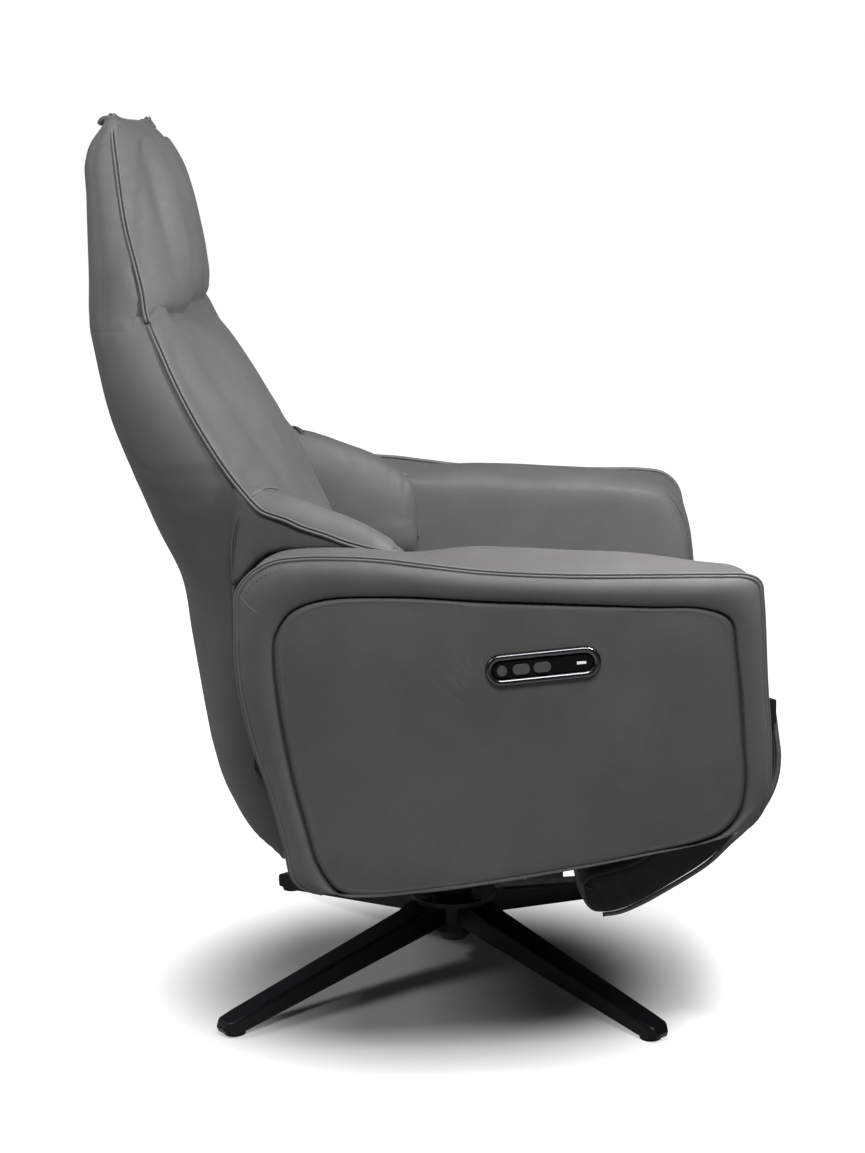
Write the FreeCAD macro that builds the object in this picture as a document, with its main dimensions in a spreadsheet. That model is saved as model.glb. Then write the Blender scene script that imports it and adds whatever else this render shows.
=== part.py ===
import FreeCAD, Part
import math
import os
import re
import Sketcher

# Power recliner armchair on a four-leg swivel base. Millimetres, +Z up, the chair faces -Y, and the
# sitter's right arm, which carries the buttons, is on -X. The origin is on the floor, on the swivel axis.

SIZES = {
    # base
    "leg_reach": 376,         # swivel axis to the tip of a leg
    "leg_twist": -4,          # degrees that the legs are turned from the diagonals
    "hub_radius": 34,
    "hub_top": 92,            # top face of the hub's flange
    "flange_thick": 6,
    "flange_radius": 56,
    "bolt_circle": 45,        # radius of the leg bolts' circle
    "glide_height": 5,
    "glide_radius": 13,
    "bolt_radius": 4,
    "column_radius": 25,
    "race_radius": 80,
    "ball_radius": 3,
    "swivel_z": 196,          # underside of the turning plate
    # seat structure
    "plate_thick": 5,         # steel plate of the mechanism
    "seat_half": 259,         # half the width between the two side plates
    "tube_size": 30,          # square cross tubes
    "tube_gap": 85,           # cross tube centres in front of and behind the swivel axis
    "frame_top": 415,         # top of the seat frame
    "frame_front": -300,
    "frame_rear": 60,
    "frame_tube": 25,
    "wire_radius": 2,
    "seat_front": -380,
    "seat_rear": 118,
    "seat_top": 474,
    "gap": 0.3,               # clearance between neighbours that don't fasten
    "run": 0.1,               # radial clearance of a turning or sliding fit
    # arms
    "arm_thick": 112,
    "arm_top": 606,
    "arm_front": "=seat_front + 28",
    "arm_rear": 229,
    "arm_floor": 233,         # lowest point of an arm, at its rear
    "arm_lift": 66,           # how much higher the arm's underside is at the front
    "panel_proud": 8,
    "board_thick": 18,
    # control panel
    "panel_y": -103,
    "panel_z": 490,
    "panel_tilt": -4.9,
    "panel_long": 127,
    "panel_tall": 36,
    "bezel_rim": 9,
    "button_travel": 1.5,
    # backrest
    "pivot_y": 200,
    "pivot_z": 400,
    "pin_radius": 8,
    "back_rise": 460,         # frame height, bottom rail to top rail
    "back_lean": 150,         # how far back the top rail is
    "rail_radius": 12.5,
    "lever": 100,             # clevis pin below the recline pivot
    "lever_back": 30,         # and behind it
    "back_tail": 178,         # lower edge of the rear cover below the recline pivot
    "rod_radius": 9,
    "cross_pin": 5,           # radius of the clevis pin and the crank pin
    # headrest
    "head_y": "=pivot_y + back_lean + 35",
    "head_z": "=pivot_z + back_rise + 10",
    "head_rise": 216,
    "head_half": 225,
    "ear_half": 160,
    # footrest
    "shaft_y": "=seat_front + 22",
    "shaft_z": "=frame_top - 15",
    "shaft_radius": 10,
    "pad_nose": 24,
    "crank_throw": 36,
    "notch_half": 36,
    "lift_rod_radius": 6,
}
COLUMNS = "A", "B"

doc = FreeCAD.newDocument("recliner")
sheet = doc.addObject("Spreadsheet::Sheet", "Sizes")
for row, (alias, amount) in enumerate(SIZES.items(), start=1):
    sheet.set(COLUMNS[0] + str(row), alias)
    sheet.set(COLUMNS[1] + str(row), str(amount))
    sheet.setAlias(COLUMNS[1] + str(row), alias)
doc.recompute()

FUNCTIONS = ("sin", "cos", "tan", "atan", "sqrt")
parts = []


def linked(text):
    """Write the sheet's name in front of every size in an expression."""
    def word(found):
        name = found.group()
        return name if name in FUNCTIONS else "Sizes." + name
    return re.sub(r"[a-z][a-z_]+", word, str(text))


def number(text):
    """The value of an expression now."""
    amount = sheet.evalExpression(linked(text))
    return float(getattr(amount, "Value", amount))


def keep(item, name):
    """Name a finished sub-part."""
    item.Label = name
    parts.append(item)
    return item


def place(item, x="0", y="0", z="0", axis=None, angle="0"):
    """Bind an object's position, and its turn about one axis in degrees."""
    if axis is not None:
        turn = FreeCAD.Rotation(FreeCAD.Vector(*axis), number(angle))
        item.Placement = FreeCAD.Placement(FreeCAD.Vector(0, 0, 0), turn)
        item.setExpression("Placement.Rotation.Angle", "(%s) * 1 deg" % linked(angle))
    for letter, text in zip("xyz", (x, y, z)):
        item.setExpression("Placement.Base." + letter, linked(text))
    return item


def box(name, x, y, z):
    """A box between two X, two Y and two Z values."""
    item = doc.addObject("Part::Box", name)
    for size, (low, high) in zip(("Length", "Width", "Height"), (x, y, z)):
        item.setExpression(size, linked("(%s) - (%s)" % (high, low)))
    return place(item, x[0], y[0], z[0])


DIRECTIONS = {"x": (0, 1, 0, 90), "y": (1, 0, 0, -90), "z": (0, 0, 1, 0)}


def rod(name, along, radius, length, x, y, z):
    """A cylinder that starts at a point and runs along +X, +Y or +Z."""
    item = doc.addObject("Part::Cylinder", name)
    item.setExpression("Radius", linked(radius))
    item.setExpression("Height", linked(length))
    ax, ay, az, angle = DIRECTIONS[along]
    return place(item, x, y, z, axis=(ax, ay, az), angle=angle)


def outline(body, plane, points):
    """A closed sketch of straight edges whose corners are bound to the sheet."""
    sketch = body.newObject("Sketcher::SketchObject", body.Name + "_outline")
    support = [one for one in body.Origin.OriginFeatures if one.Role == plane][0]
    sketch.AttachmentSupport = [(support, "")]
    sketch.MapMode = "FlatFace"
    spots = [(number(u), number(v)) for u, v in points]
    count = len(spots)
    for index in range(count):
        start = FreeCAD.Vector(*spots[index], 0)
        end = FreeCAD.Vector(*spots[(index + 1) % count], 0)
        sketch.addGeometry(Part.LineSegment(start, end), False)
    for index in range(count):
        sketch.addConstraint(Sketcher.Constraint("Coincident", index, 2, (index + 1) % count, 1))
    for index, texts in enumerate(points):
        for kind, text, amount in zip(("DistanceX", "DistanceY"), texts, spots[index]):
            rule = sketch.addConstraint(Sketcher.Constraint(kind, -1, 1, index, 1, amount))
            sketch.setExpression("Constraints[%d]" % rule, linked(text))
    return sketch


def slab(name, plane, points, low, high):
    """A prism: a YZ outline run along X, or an XZ or XY one along -Y or Z, from low to high."""
    body = doc.addObject("PartDesign::Body", name)
    sketch = outline(body, plane, points)
    doc.recompute()
    pad = body.newObject("PartDesign::Pad", name + "_pad")
    pad.Profile = sketch
    pad.setExpression("Length", linked("(%s) - (%s)" % (high, low)))
    body.Tip = pad
    if plane == "YZ_Plane":
        return place(body, x=low)
    if plane == "XZ_Plane":
        return place(body, y=high)
    return place(body, z=low)


def side(name, points, low, high):
    """A side-view outline (Y, Z) run along X."""
    return slab(name, "YZ_Plane", points, low, high)


def fuse(name, *pieces):
    item = doc.addObject("Part::MultiFuse", name)
    item.Shapes = list(pieces)
    return item


def cut(name, base, *tools):
    item = doc.addObject("Part::Cut", name)
    item.Base = base
    item.Tool = tools[0] if len(tools) == 1 else fuse(name + "_tools", *tools)
    return item


def common(name, first, second):
    item = doc.addObject("Part::Common", name)
    item.Base = first
    item.Tool = second
    return item


def group(name, *pieces):
    """Several loose solids in one sub-part."""
    item = doc.addObject("Part::Compound", name)
    item.Links = list(pieces)
    return item


def rounded(name, base, radius, choose):
    """Round the chosen edges of a shape."""
    doc.recompute()
    item = doc.addObject("Part::Fillet", name)
    item.Base = base
    edges = []
    for index, edge in enumerate(base.Shape.Edges, start=1):
        if choose(edge):
            edges.append((index, number(radius), number(radius)))
    item.Edges = edges
    return item


def both_sides(name, make):
    """Make a right (-X) and a left (+X) piece; make gets a name and a function for its X span."""
    def right_span(low, high):
        return "-(%s)" % high, "-(%s)" % low

    def left_span(low, high):
        return low, high
    return (keep(make(name + "_right", right_span), name + "_right"),
            keep(make(name + "_left", left_span), name + "_left"))


def stadium(name, long, tall, low, high):
    """A flat bar with round ends, or a round one, on the panel's own axes, from low to high along X."""
    half = "(%s) / 2" % tall
    reach = "((%s) - (%s)) / 2" % (long, tall)
    start = "(%s)" % low
    length = "(%s) - (%s)" % (high, low)
    if number(reach) < 0.01:
        return rod(name, "x", half, length, start, "0", "0")
    middle = box(name + "_middle", (low, high), ("-" + reach, reach), ("-" + half, half))
    front = rod(name + "_front", "x", half, length, start, "-" + reach, "0")
    rear = rod(name + "_rear", "x", half, length, start, reach, "0")
    return fuse(name, middle, front, rear)


# ---------------------------------------------------------------- base

def make_base():
    hub = rod("hub_core", "z", "hub_radius", "hub_top - 45", "0", "0", "45")
    flange = rod("hub_flange", "z", "flange_radius", "flange_thick", "0", "0", "hub_top - flange_thick")
    nose = doc.addObject("Part::Cone", "hub_nose")
    nose.setExpression("Radius1", linked("hub_radius / 2"))
    nose.setExpression("Radius2", linked("hub_radius"))
    nose.setExpression("Height", "17")
    place(nose, z="28")
    socket = rod("hub_socket", "z", "column_radius", "hub_top - 60", "0", "0", "60.5")
    holes = [rod("hub_hole_%d" % turn, "z", "bolt_radius + run", "40",
                 "bolt_circle * cos(leg_twist + %d)" % turn, "bolt_circle * sin(leg_twist + %d)" % turn,
                 "hub_top - 30")
             for turn in (45, 135, 225, 315)]
    keep(cut("hub_cut", fuse("hub_body", hub, flange, nose), socket, *holes), "base_hub")

    names = {225: "front_right", 315: "front_left", 45: "rear_left", 135: "rear_right"}
    glides = []
    bolts = []
    for turn, name in names.items():
        profile = (("hub_radius", "54"), ("hub_radius", "hub_top - flange_thick"),
                   ("flange_radius", "hub_top - flange_thick"), ("flange_radius + 8", "hub_top - 9"),
                   ("leg_reach - 26", "glide_height + 20"), ("leg_reach - 6", "glide_height + 15"),
                   ("leg_reach", "glide_height + 7"), ("leg_reach - 4", "glide_height"),
                   ("leg_reach - 40", "glide_height"), ("flange_radius", "51"))
        depth = slab(name + "_depth", "XZ_Plane", profile, "-22", "22")
        plan = (("hub_radius", "-20"), ("leg_reach - 12", "-15"), ("leg_reach", "-8"),
                ("leg_reach", "8"), ("leg_reach - 12", "15"), ("hub_radius", "20"))
        width = slab(name + "_width", "XY_Plane", plan, "0", "hub_top")
        hole = rod(name + "_hole", "z", "bolt_radius + run", "hub_top", "bolt_circle", "0", "40")
        beam = rounded(name + "_bar", common(name + "_solid", depth, width), "5", long_edge)
        beam = rounded(name + "_beam", beam, "3", tip_edge)
        leg = cut(name + "_leg", beam, hole)
        place(leg, axis=(0, 0, 1), angle="leg_twist + %d" % turn)
        keep(leg, "leg_" + name)
        out = "(leg_reach - 22)"
        glides.append(rod("glide_%d" % turn, "z", "glide_radius", "glide_height",
                          "%s * cos(leg_twist + %d)" % (out, turn),
                          "%s * sin(leg_twist + %d)" % (out, turn), "0"))
        spot = ("bolt_circle * cos(leg_twist + %d)" % turn, "bolt_circle * sin(leg_twist + %d)" % turn)
        shank = rod("leg_bolt_%d" % turn, "z", "bolt_radius", "hub_top - 62", *spot, "62")
        head = rod("leg_bolt_head_%d" % turn, "z", "bolt_radius * 1.7", "bolt_radius", *spot, "hub_top")
        bolts.append(fuse("leg_bolt_whole_%d" % turn, shank, head))
    keep(group("glide_set", *glides), "glide_pads")
    keep(group("leg_bolt_set", *bolts), "leg_bolts")

    race_top = "swivel_z - 2 * ball_radius"
    tube = rod("column_outer", "z", "column_radius - run / 2", race_top + " - 66", "0", "0", "60.5")
    bore = rod("column_bore", "z", "column_radius - 4", "swivel_z", "0", "0", "55")
    keep(cut("column", tube, bore), "swivel_column")
    plate = rod("race_plate", "z", "race_radius", "5.5", "0", "0", race_top + " - 5.5")
    keep(plate, "swivel_race")
    balls = []
    for step in range(12):
        ball = doc.addObject("Part::Sphere", "ball_%d" % step)
        ball.setExpression("Radius", linked("ball_radius - 0.02"))
        place(ball, "(race_radius - 10) * cos(%d)" % (30 * step),
              "(race_radius - 10) * sin(%d)" % (30 * step), "swivel_z - ball_radius")
        balls.append(ball)
    keep(group("ball_ring", *balls), "bearing_balls")


def long_edge(edge):
    """An edge that runs most of a leg's length."""
    return edge.Length > 200


def tip_edge(edge):
    """An upright edge at the end of a leg."""
    low = edge.BoundBox
    return low.XMin > number("leg_reach - 14") and low.ZLength > 3 and low.XLength < 7


# ---------------------------------------------------------------- mechanism under the seat

SIDE_PLATE = (("-130", "swivel_z + plate_thick"), ("tube_gap + 35", "swivel_z + plate_thick"),
              ("pivot_y + 28", "pivot_z - 60"), ("pivot_y + 28", "pivot_z + 24"),
              ("shaft_y + 18", "shaft_z + 24"), ("shaft_y - 20", "shaft_z + 12"),
              ("shaft_y - 20", "shaft_z - 15"), ("shaft_y + 13", "shaft_z - 28"), ("-130", "262"))
ARM_BOLT_SPOTS = ((-180, 370), (-60, 315), (60, 315), (120, 370))


def make_mechanism():
    low = "swivel_z + plate_thick"
    plate = box("turning_plate", ("-110", "110"), ("-110", "110"), ("swivel_z", low))
    bolt_spots = [(80 * sx, sy) for sx in (-1, 1) for sy in (-1, 1)]
    holes = [rod("plate_hole_%d" % number_of, "z", "bolt_radius + run", "60", str(x),
                 "%d * tube_gap" % way, "swivel_z - 20") for number_of, (x, way) in enumerate(bolt_spots)]
    keep(cut("turning_plate_drilled", plate, *holes), "swivel_plate")
    bolts = []
    for index, (x, way) in enumerate(bolt_spots):
        spot = (str(x), "%d * tube_gap" % way)
        shank = rod("swivel_shank_%d" % index, "z", "bolt_radius", "plate_thick + 12", *spot, "swivel_z")
        head = rod("swivel_head_%d" % index, "z", "bolt_radius * 1.7", "4", *spot, "swivel_z - 4")
        bolts.append(fuse("swivel_bolt_%d" % index, shank, head))
    keep(group("swivel_bolt_set", *bolts), "swivel_bolts")

    for name, way in (("front", -1), ("rear", 1)):
        half = "tube_size / 2"
        middle = "%d * tube_gap" % way
        outer = box(name + "_tube_outer", ("-seat_half", "seat_half"),
                    (middle + " - " + half, middle + " + " + half), (low, low + " + tube_size"))
        inner = box(name + "_tube_inner", ("-seat_half - 1", "seat_half + 1"),
                    (middle + " - " + half + " + 2.5", middle + " + " + half + " - 2.5"),
                    (low + " + 2.5", low + " + tube_size - 2.5"))
        drills = [rod("%s_drill_%d" % (name, x), "z", "bolt_radius + run", "20", str(x), middle, "swivel_z")
                  for x in (-80, 80)]
        keep(cut(name + "_tube", outer, inner, *drills), "cross_tube_" + name)

    def side_plate(name, span):
        blank = side(name + "_blank", SIDE_PLATE, *span("seat_half", "seat_half + plate_thick"))
        drill = span("seat_half - 5", "seat_half + plate_thick + 5")
        length = "plate_thick + 10"
        tools = [rod(name + "_pivot", "x", "pin_radius + run / 2", length, drill[0], "pivot_y", "pivot_z"),
                 rod(name + "_shaft", "x", "shaft_radius + run", length, drill[0], "shaft_y", "shaft_z")]
        for index, (y, z) in enumerate(ARM_BOLT_SPOTS):
            tools.append(rod("%s_bolt_%d" % (name, index), "x", "bolt_radius + run", length, drill[0],
                             str(y), str(z)))
        return cut(name, blank, *tools)
    both_sides("mech_side", side_plate)

    top = ("frame_top - frame_tube", "frame_top")
    rails = []
    for sign in ("-", ""):
        near, far = sign + "(seat_half - frame_tube)", sign + "seat_half"
        x = (far, near) if sign else (near, far)
        rails.append(box("side_rail" + ("_right" if sign else "_left"), x, ("frame_front", "frame_rear"), top))
    inside = ("-(seat_half - frame_tube)", "seat_half - frame_tube")
    rails.append(box("front_rail", inside, ("frame_front", "frame_front + frame_tube"), top))
    rails.append(box("rear_rail", inside, ("frame_rear - frame_tube", "frame_rear"), top))
    keep(fuse("seat_frame_welded", *rails), "seat_frame")
    keep(make_springs(), "seat_springs")

    pins = []
    for name, start in (("right", "-(seat_half + plate_thick + 4)"), ("left", "seat_half - 18")):
        pins.append(rod("recline_pin_" + name, "x", "pin_radius", "plate_thick + 22", start, "pivot_y", "pivot_z"))
    keep(group("recline_pin_set", *pins), "recline_pins")

    width = ("-34", "34")
    wall_top = "frame_top - frame_tube - 1"
    foot = box("cradle_foot", width, ("-tube_gap - tube_size / 2", "tube_gap + tube_size / 2"),
               (low + " + tube_size", low + " + tube_size + 4"))
    walls = [box("cradle_wall_right", ("-34", "-30"), ("-40", "40"), (low + " + tube_size", wall_top)),
             box("cradle_wall_left", ("30", "34"), ("-40", "40"), (low + " + tube_size", wall_top))]
    keep(fuse("cradle", foot, *walls), "motor_cradle")

    rod_z = "pivot_z - lever"
    case = box("back_drive_case", ("-30", "30"), ("-150", "60"), (rod_z + " - 25", rod_z + " + 25"))
    can = rod("back_drive_can", "x", "24", "80", "30", "-115", rod_z)
    bore = rod("back_drive_bore", "y", "rod_radius + run", "165", "0", "-100", rod_z)
    keep(cut("back_drive", fuse("back_drive_body", case, can), bore), "back_motor")

    lift_z = "shaft_z - 0.75 * crank_throw"
    case = box("lift_drive_case", ("-30", "30"), ("-230", "-20"), (lift_z + " - 18", lift_z + " + 18"))
    can = rod("lift_drive_can", "x", "17", "80", "-110", "-150", lift_z)
    bore = rod("lift_drive_bore", "y", "lift_rod_radius + run", "105", "0", "-232", lift_z)
    keep(cut("lift_drive", fuse("lift_drive_body", case, can), bore), "footrest_motor")

    tube_top = low + " + tube_size"
    keep(box("control_box_case", ("60", "180"), ("-tube_gap - 15", "40"), (tube_top, "pivot_z - lever - 34")),
         "control_box")
    body = box("inlet_body", ("-150", "-128"), ("tube_gap + tube_size / 2", "tube_gap + tube_size / 2 + 20"),
               (low + " + 4", low + " + 26"))
    bore = rod("inlet_bore", "y", "4", "16", "-139", "tube_gap + tube_size / 2 + 5", low + " + 15")
    keep(cut("inlet", body, bore), "dc_inlet")


def make_springs():
    """Five sinuous springs that snake from the front rail to the rear rail."""
    radius = SIZES["wire_radius"]
    level = SIZES["frame_top"] + radius + 0.02
    start = SIZES["frame_front"] + 8
    turns = 12
    bend = (SIZES["frame_rear"] - 8 - start) / (2 * turns)
    reach = 18
    solids = []
    for x in (-180, -90, 0, 90, 180):
        edges = []
        for turn in range(turns):
            way = 1 if turn % 2 == 0 else -1
            y = start + 2 * bend * turn
            left = FreeCAD.Vector(x - way * reach, y, level)
            right = FreeCAD.Vector(x + way * reach, y, level)
            top = FreeCAD.Vector(x + way * (reach + bend), y + bend, level)
            after = FreeCAD.Vector(x + way * reach, y + 2 * bend, level)
            edges.append(Part.LineSegment(left, right).toShape())
            edges.append(Part.Arc(right, top, after).toShape())
        path = Part.Wire(edges)
        first = FreeCAD.Vector(x - reach, start, level)
        ring = Part.Wire(Part.makeCircle(radius, first, FreeCAD.Vector(1, 0, 0)))
        solids.append(path.makePipeShell([ring], True, False))
    item = doc.addObject("Part::Feature", "spring_set")
    item.Shape = Part.makeCompound(solids)
    return item


# ---------------------------------------------------------------- seat and arms

def make_seat():
    under = "frame_top + 2 * wire_radius + gap"
    lip = "shaft_z + pad_nose + 16"
    points = (("seat_rear", under), ("seat_rear", "seat_top - 12"), ("seat_rear - 14", "seat_top"),
              ("seat_front + 34", "seat_top"), ("seat_front + 9", "seat_top - 7"), ("seat_front", "seat_top - 18"),
              ("seat_front + 4", lip), ("shaft_y + pad_nose + 10", lip), ("shaft_y + pad_nose + 10", under))
    keep(side("cushion", points, "-seat_half + 1", "seat_half - 1"), "seat_cushion")


ARM_OUTLINE = (("arm_rear", "arm_floor + 246"), ("arm_rear - 2", "arm_top - 46"), ("arm_rear - 11", "arm_top - 17"),
               ("arm_rear - 36", "arm_top - 1"), ("arm_rear - 80", "arm_top"), ("-120", "arm_top - 16"),
               ("arm_front + 62", "arm_top - 21"), ("arm_front + 18", "arm_top - 27"),
               ("arm_front + 5", "arm_top - 48"), ("arm_front", "arm_floor + 154"),
               ("arm_front + 4", "arm_floor + 95"), ("arm_front + 22", "arm_floor + arm_lift + 4"),
               ("arm_front + 60", "arm_floor + arm_lift - 10"), ("-53", "arm_floor + 10"), ("90", "arm_floor - 4"),
               ("arm_rear - 70", "arm_floor - 2"), ("arm_rear - 46", "arm_floor + 22"),
               ("arm_rear - 20", "arm_floor + 130"))
PANEL_OUTLINE = (("arm_rear - 38", "arm_floor + 224"), ("arm_rear - 37", "arm_top - 95"),
                 ("arm_rear - 45", "arm_top - 66"), ("arm_rear - 66", "arm_top - 46"),
                 ("arm_rear - 110", "arm_top - 38"), ("-120", "arm_top - 49"), ("arm_front + 84", "arm_top - 57"),
                 ("arm_front + 55", "arm_top - 72"), ("arm_front + 40", "arm_top - 124"),
                 ("arm_front + 26", "arm_floor + 150"), ("arm_front + 30", "arm_floor + 92"),
                 ("arm_front + 48", "arm_floor + arm_lift - 2"), ("-53", "arm_floor + 14"),
                 ("90", "arm_floor + 2"), ("arm_rear - 84", "arm_floor + 12"), ("arm_rear - 66", "arm_floor + 60"))
BOARD_OUTLINE = (("arm_rear - 70", "arm_floor + 60"), ("arm_rear - 60", "arm_top - 60"),
                 ("arm_front + 60", "arm_top - 70"), ("arm_front + 52", "arm_floor + arm_lift + 40"),
                 ("-53", "arm_floor + 42"))


def on_panel(item):
    """Move a piece from the control panel's own axes to its place on the right arm."""
    return place(item, "-(seat_half + 9 + arm_thick + panel_proud)", "panel_y", "panel_z",
                 axis=(1, 0, 0), angle="panel_tilt")


def make_arms():
    inner = "seat_half + 9"
    outer = "seat_half + 9 + arm_thick"

    def board(name, span):
        blank = side(name + "_blank", BOARD_OUTLINE,
                     *span("seat_half + plate_thick", "seat_half + plate_thick + board_thick"))
        drill = span("seat_half", "seat_half + plate_thick + board_thick + 3")
        tools = [rod("%s_bolt_%d" % (name, index), "x", "bolt_radius + run", "board_thick + plate_thick + 3",
                     drill[0], str(y), str(z)) for index, (y, z) in enumerate(ARM_BOLT_SPOTS)]
        return cut(name, blank, *tools)
    both_sides("arm_frame", board)

    def pad(name, span):
        block = side(name + "_block", ARM_OUTLINE, *span(inner, outer))
        recess_outline = []
        for (y, z), (dy, dz) in zip(BOARD_OUTLINE, ((1, -1), (1, 1), (-1, 1), (-1, -1), (0, -1))):
            recess_outline.append(("%s + (%d)" % (y, dy), "%s + (%d)" % (z, dz)))
        recess = side(name + "_recess", recess_outline,
                      *span("seat_half", "seat_half + plate_thick + board_thick + gap"))
        tools = [recess]
        if "right" in name:
            pocket = stadium(name + "_pocket", "panel_long - bezel_rim", "panel_tall - bezel_rim", "-5", "60")
            tools.append(on_panel(pocket))
        return cut(name, block, *tools)
    both_sides("arm_pad", pad)

    def panel(name, span):
        blank = side(name + "_blank", PANEL_OUTLINE, *span(outer + " + gap", outer + " + panel_proud"))
        if "right" not in name:
            return blank
        hole = stadium(name + "_hole", "panel_long - bezel_rim", "panel_tall - bezel_rim", "-5", "20")
        return cut(name, blank, on_panel(hole))
    both_sides("arm_side_panel", panel)

    bolts = []
    for name, sign in (("right", -1), ("left", 1)):
        for index, (y, z) in enumerate(ARM_BOLT_SPOTS):
            length = "plate_thick + board_thick - 1"
            start = "-(seat_half + %s)" % length if sign < 0 else "seat_half"
            head = "-seat_half" if sign < 0 else "seat_half - 4"
            shank = rod("arm_shank_%s_%d" % (name, index), "x", "bolt_radius", length, start, str(y), str(z))
            cap = rod("arm_head_%s_%d" % (name, index), "x", "bolt_radius * 1.7", "4", head, str(y), str(z))
            bolts.append(fuse("arm_bolt_%s_%d" % (name, index), shank, cap))
    keep(group("arm_bolt_set", *bolts), "arm_bolts")


# ---------------------------------------------------------------- control panel on the right arm

BUTTONS = {"home": (45, 11), "open": (24, 19), "close": (1, 19)}   # place along the panel, length
BUTTON_TALL = 11
BUTTON_GAP = 0.4
LIGHT_SPOT = -42
LIGHT_LONG = 10
LIGHT_TALL = 3
LIGHT_GAP = 0.2


def moved(item, along, name):
    """Shift a piece along the panel's own length before it is placed on the arm."""
    item.setExpression("Placement.Base.y", str(along))
    return group(name, item)


def make_controls():
    opening = ("panel_long - 2 * bezel_rim", "panel_tall - 2 * bezel_rim")
    ring = stadium("bezel_blank", "panel_long", "panel_tall", "-5", "0")
    collar = stadium("bezel_collar", "panel_long - bezel_rim - 0.6", "panel_tall - bezel_rim - 0.6", "-1", "6")
    hole = stadium("bezel_hole", *opening, "-8", "9")
    keep(on_panel(cut("bezel", fuse("bezel_solid", ring, collar), hole)), "control_bezel")

    plate = stadium("insert_blank", opening[0] + " - 0.4", opening[1] + " - 0.4", "-3", "0")
    tools = []
    for name, (along, length) in BUTTONS.items():
        tall = BUTTON_TALL + 2 * BUTTON_GAP
        hole = stadium("insert_" + name, str(length + 2 * BUTTON_GAP), str(tall), "-6", "4")
        tools.append(moved(hole, along, "insert_hole_" + name))
        cap = stadium("cap_" + name, str(length), str(BUTTON_TALL), "-6", "0.6")
        keep(on_panel(moved(cap, along, "cap_placed_" + name)), "button_" + name)
    slot = box("light_slot", ("-6", "4"), (str(LIGHT_SPOT - LIGHT_LONG / 2 - LIGHT_GAP), str(LIGHT_SPOT + LIGHT_LONG / 2 + LIGHT_GAP)),
               (str(-LIGHT_TALL / 2 - LIGHT_GAP), str(LIGHT_TALL / 2 + LIGHT_GAP)))
    keep(on_panel(cut("insert", plate, *tools, slot)), "control_plate")
    bar = box("light_bar", ("-3.3", "3"), (str(LIGHT_SPOT - LIGHT_LONG / 2), str(LIGHT_SPOT + LIGHT_LONG / 2)),
              (str(-LIGHT_TALL / 2), str(LIGHT_TALL / 2)))
    keep(on_panel(group("light", bar)), "status_light")
    case = stadium("switch_case", opening[0] + " - 0.4", opening[1] + " - 0.4", "3", "38")
    rear = stadium("switch_back", opening[0] + " - 4", opening[1] + " - 4", "0", "3")
    wells = []
    for name, (along, length) in BUTTONS.items():
        well = stadium("well_" + name, str(length + 2), str(BUTTON_TALL + 2), "-1", "3.4")
        wells.append(moved(well, along, "well_placed_" + name))
    slot = box("light_well", ("-1", "3"), (str(LIGHT_SPOT - LIGHT_LONG / 2 - 1), str(LIGHT_SPOT + LIGHT_LONG / 2 + 1)),
               (str(-LIGHT_TALL / 2 - 1), str(LIGHT_TALL / 2 + 1)))
    keep(on_panel(cut("switch", fuse("switch_solid", case, rear), *wells, slot)), "control_housing")


# ---------------------------------------------------------------- backrest

def on_back(share, depth):
    """A side-view point: a share of the way up the back frame, and a distance behind its centre line."""
    return ("pivot_y + 22 + back_lean * %s + (%s)" % (share, depth), "pivot_z - 20 + back_rise * %s" % share)


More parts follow.
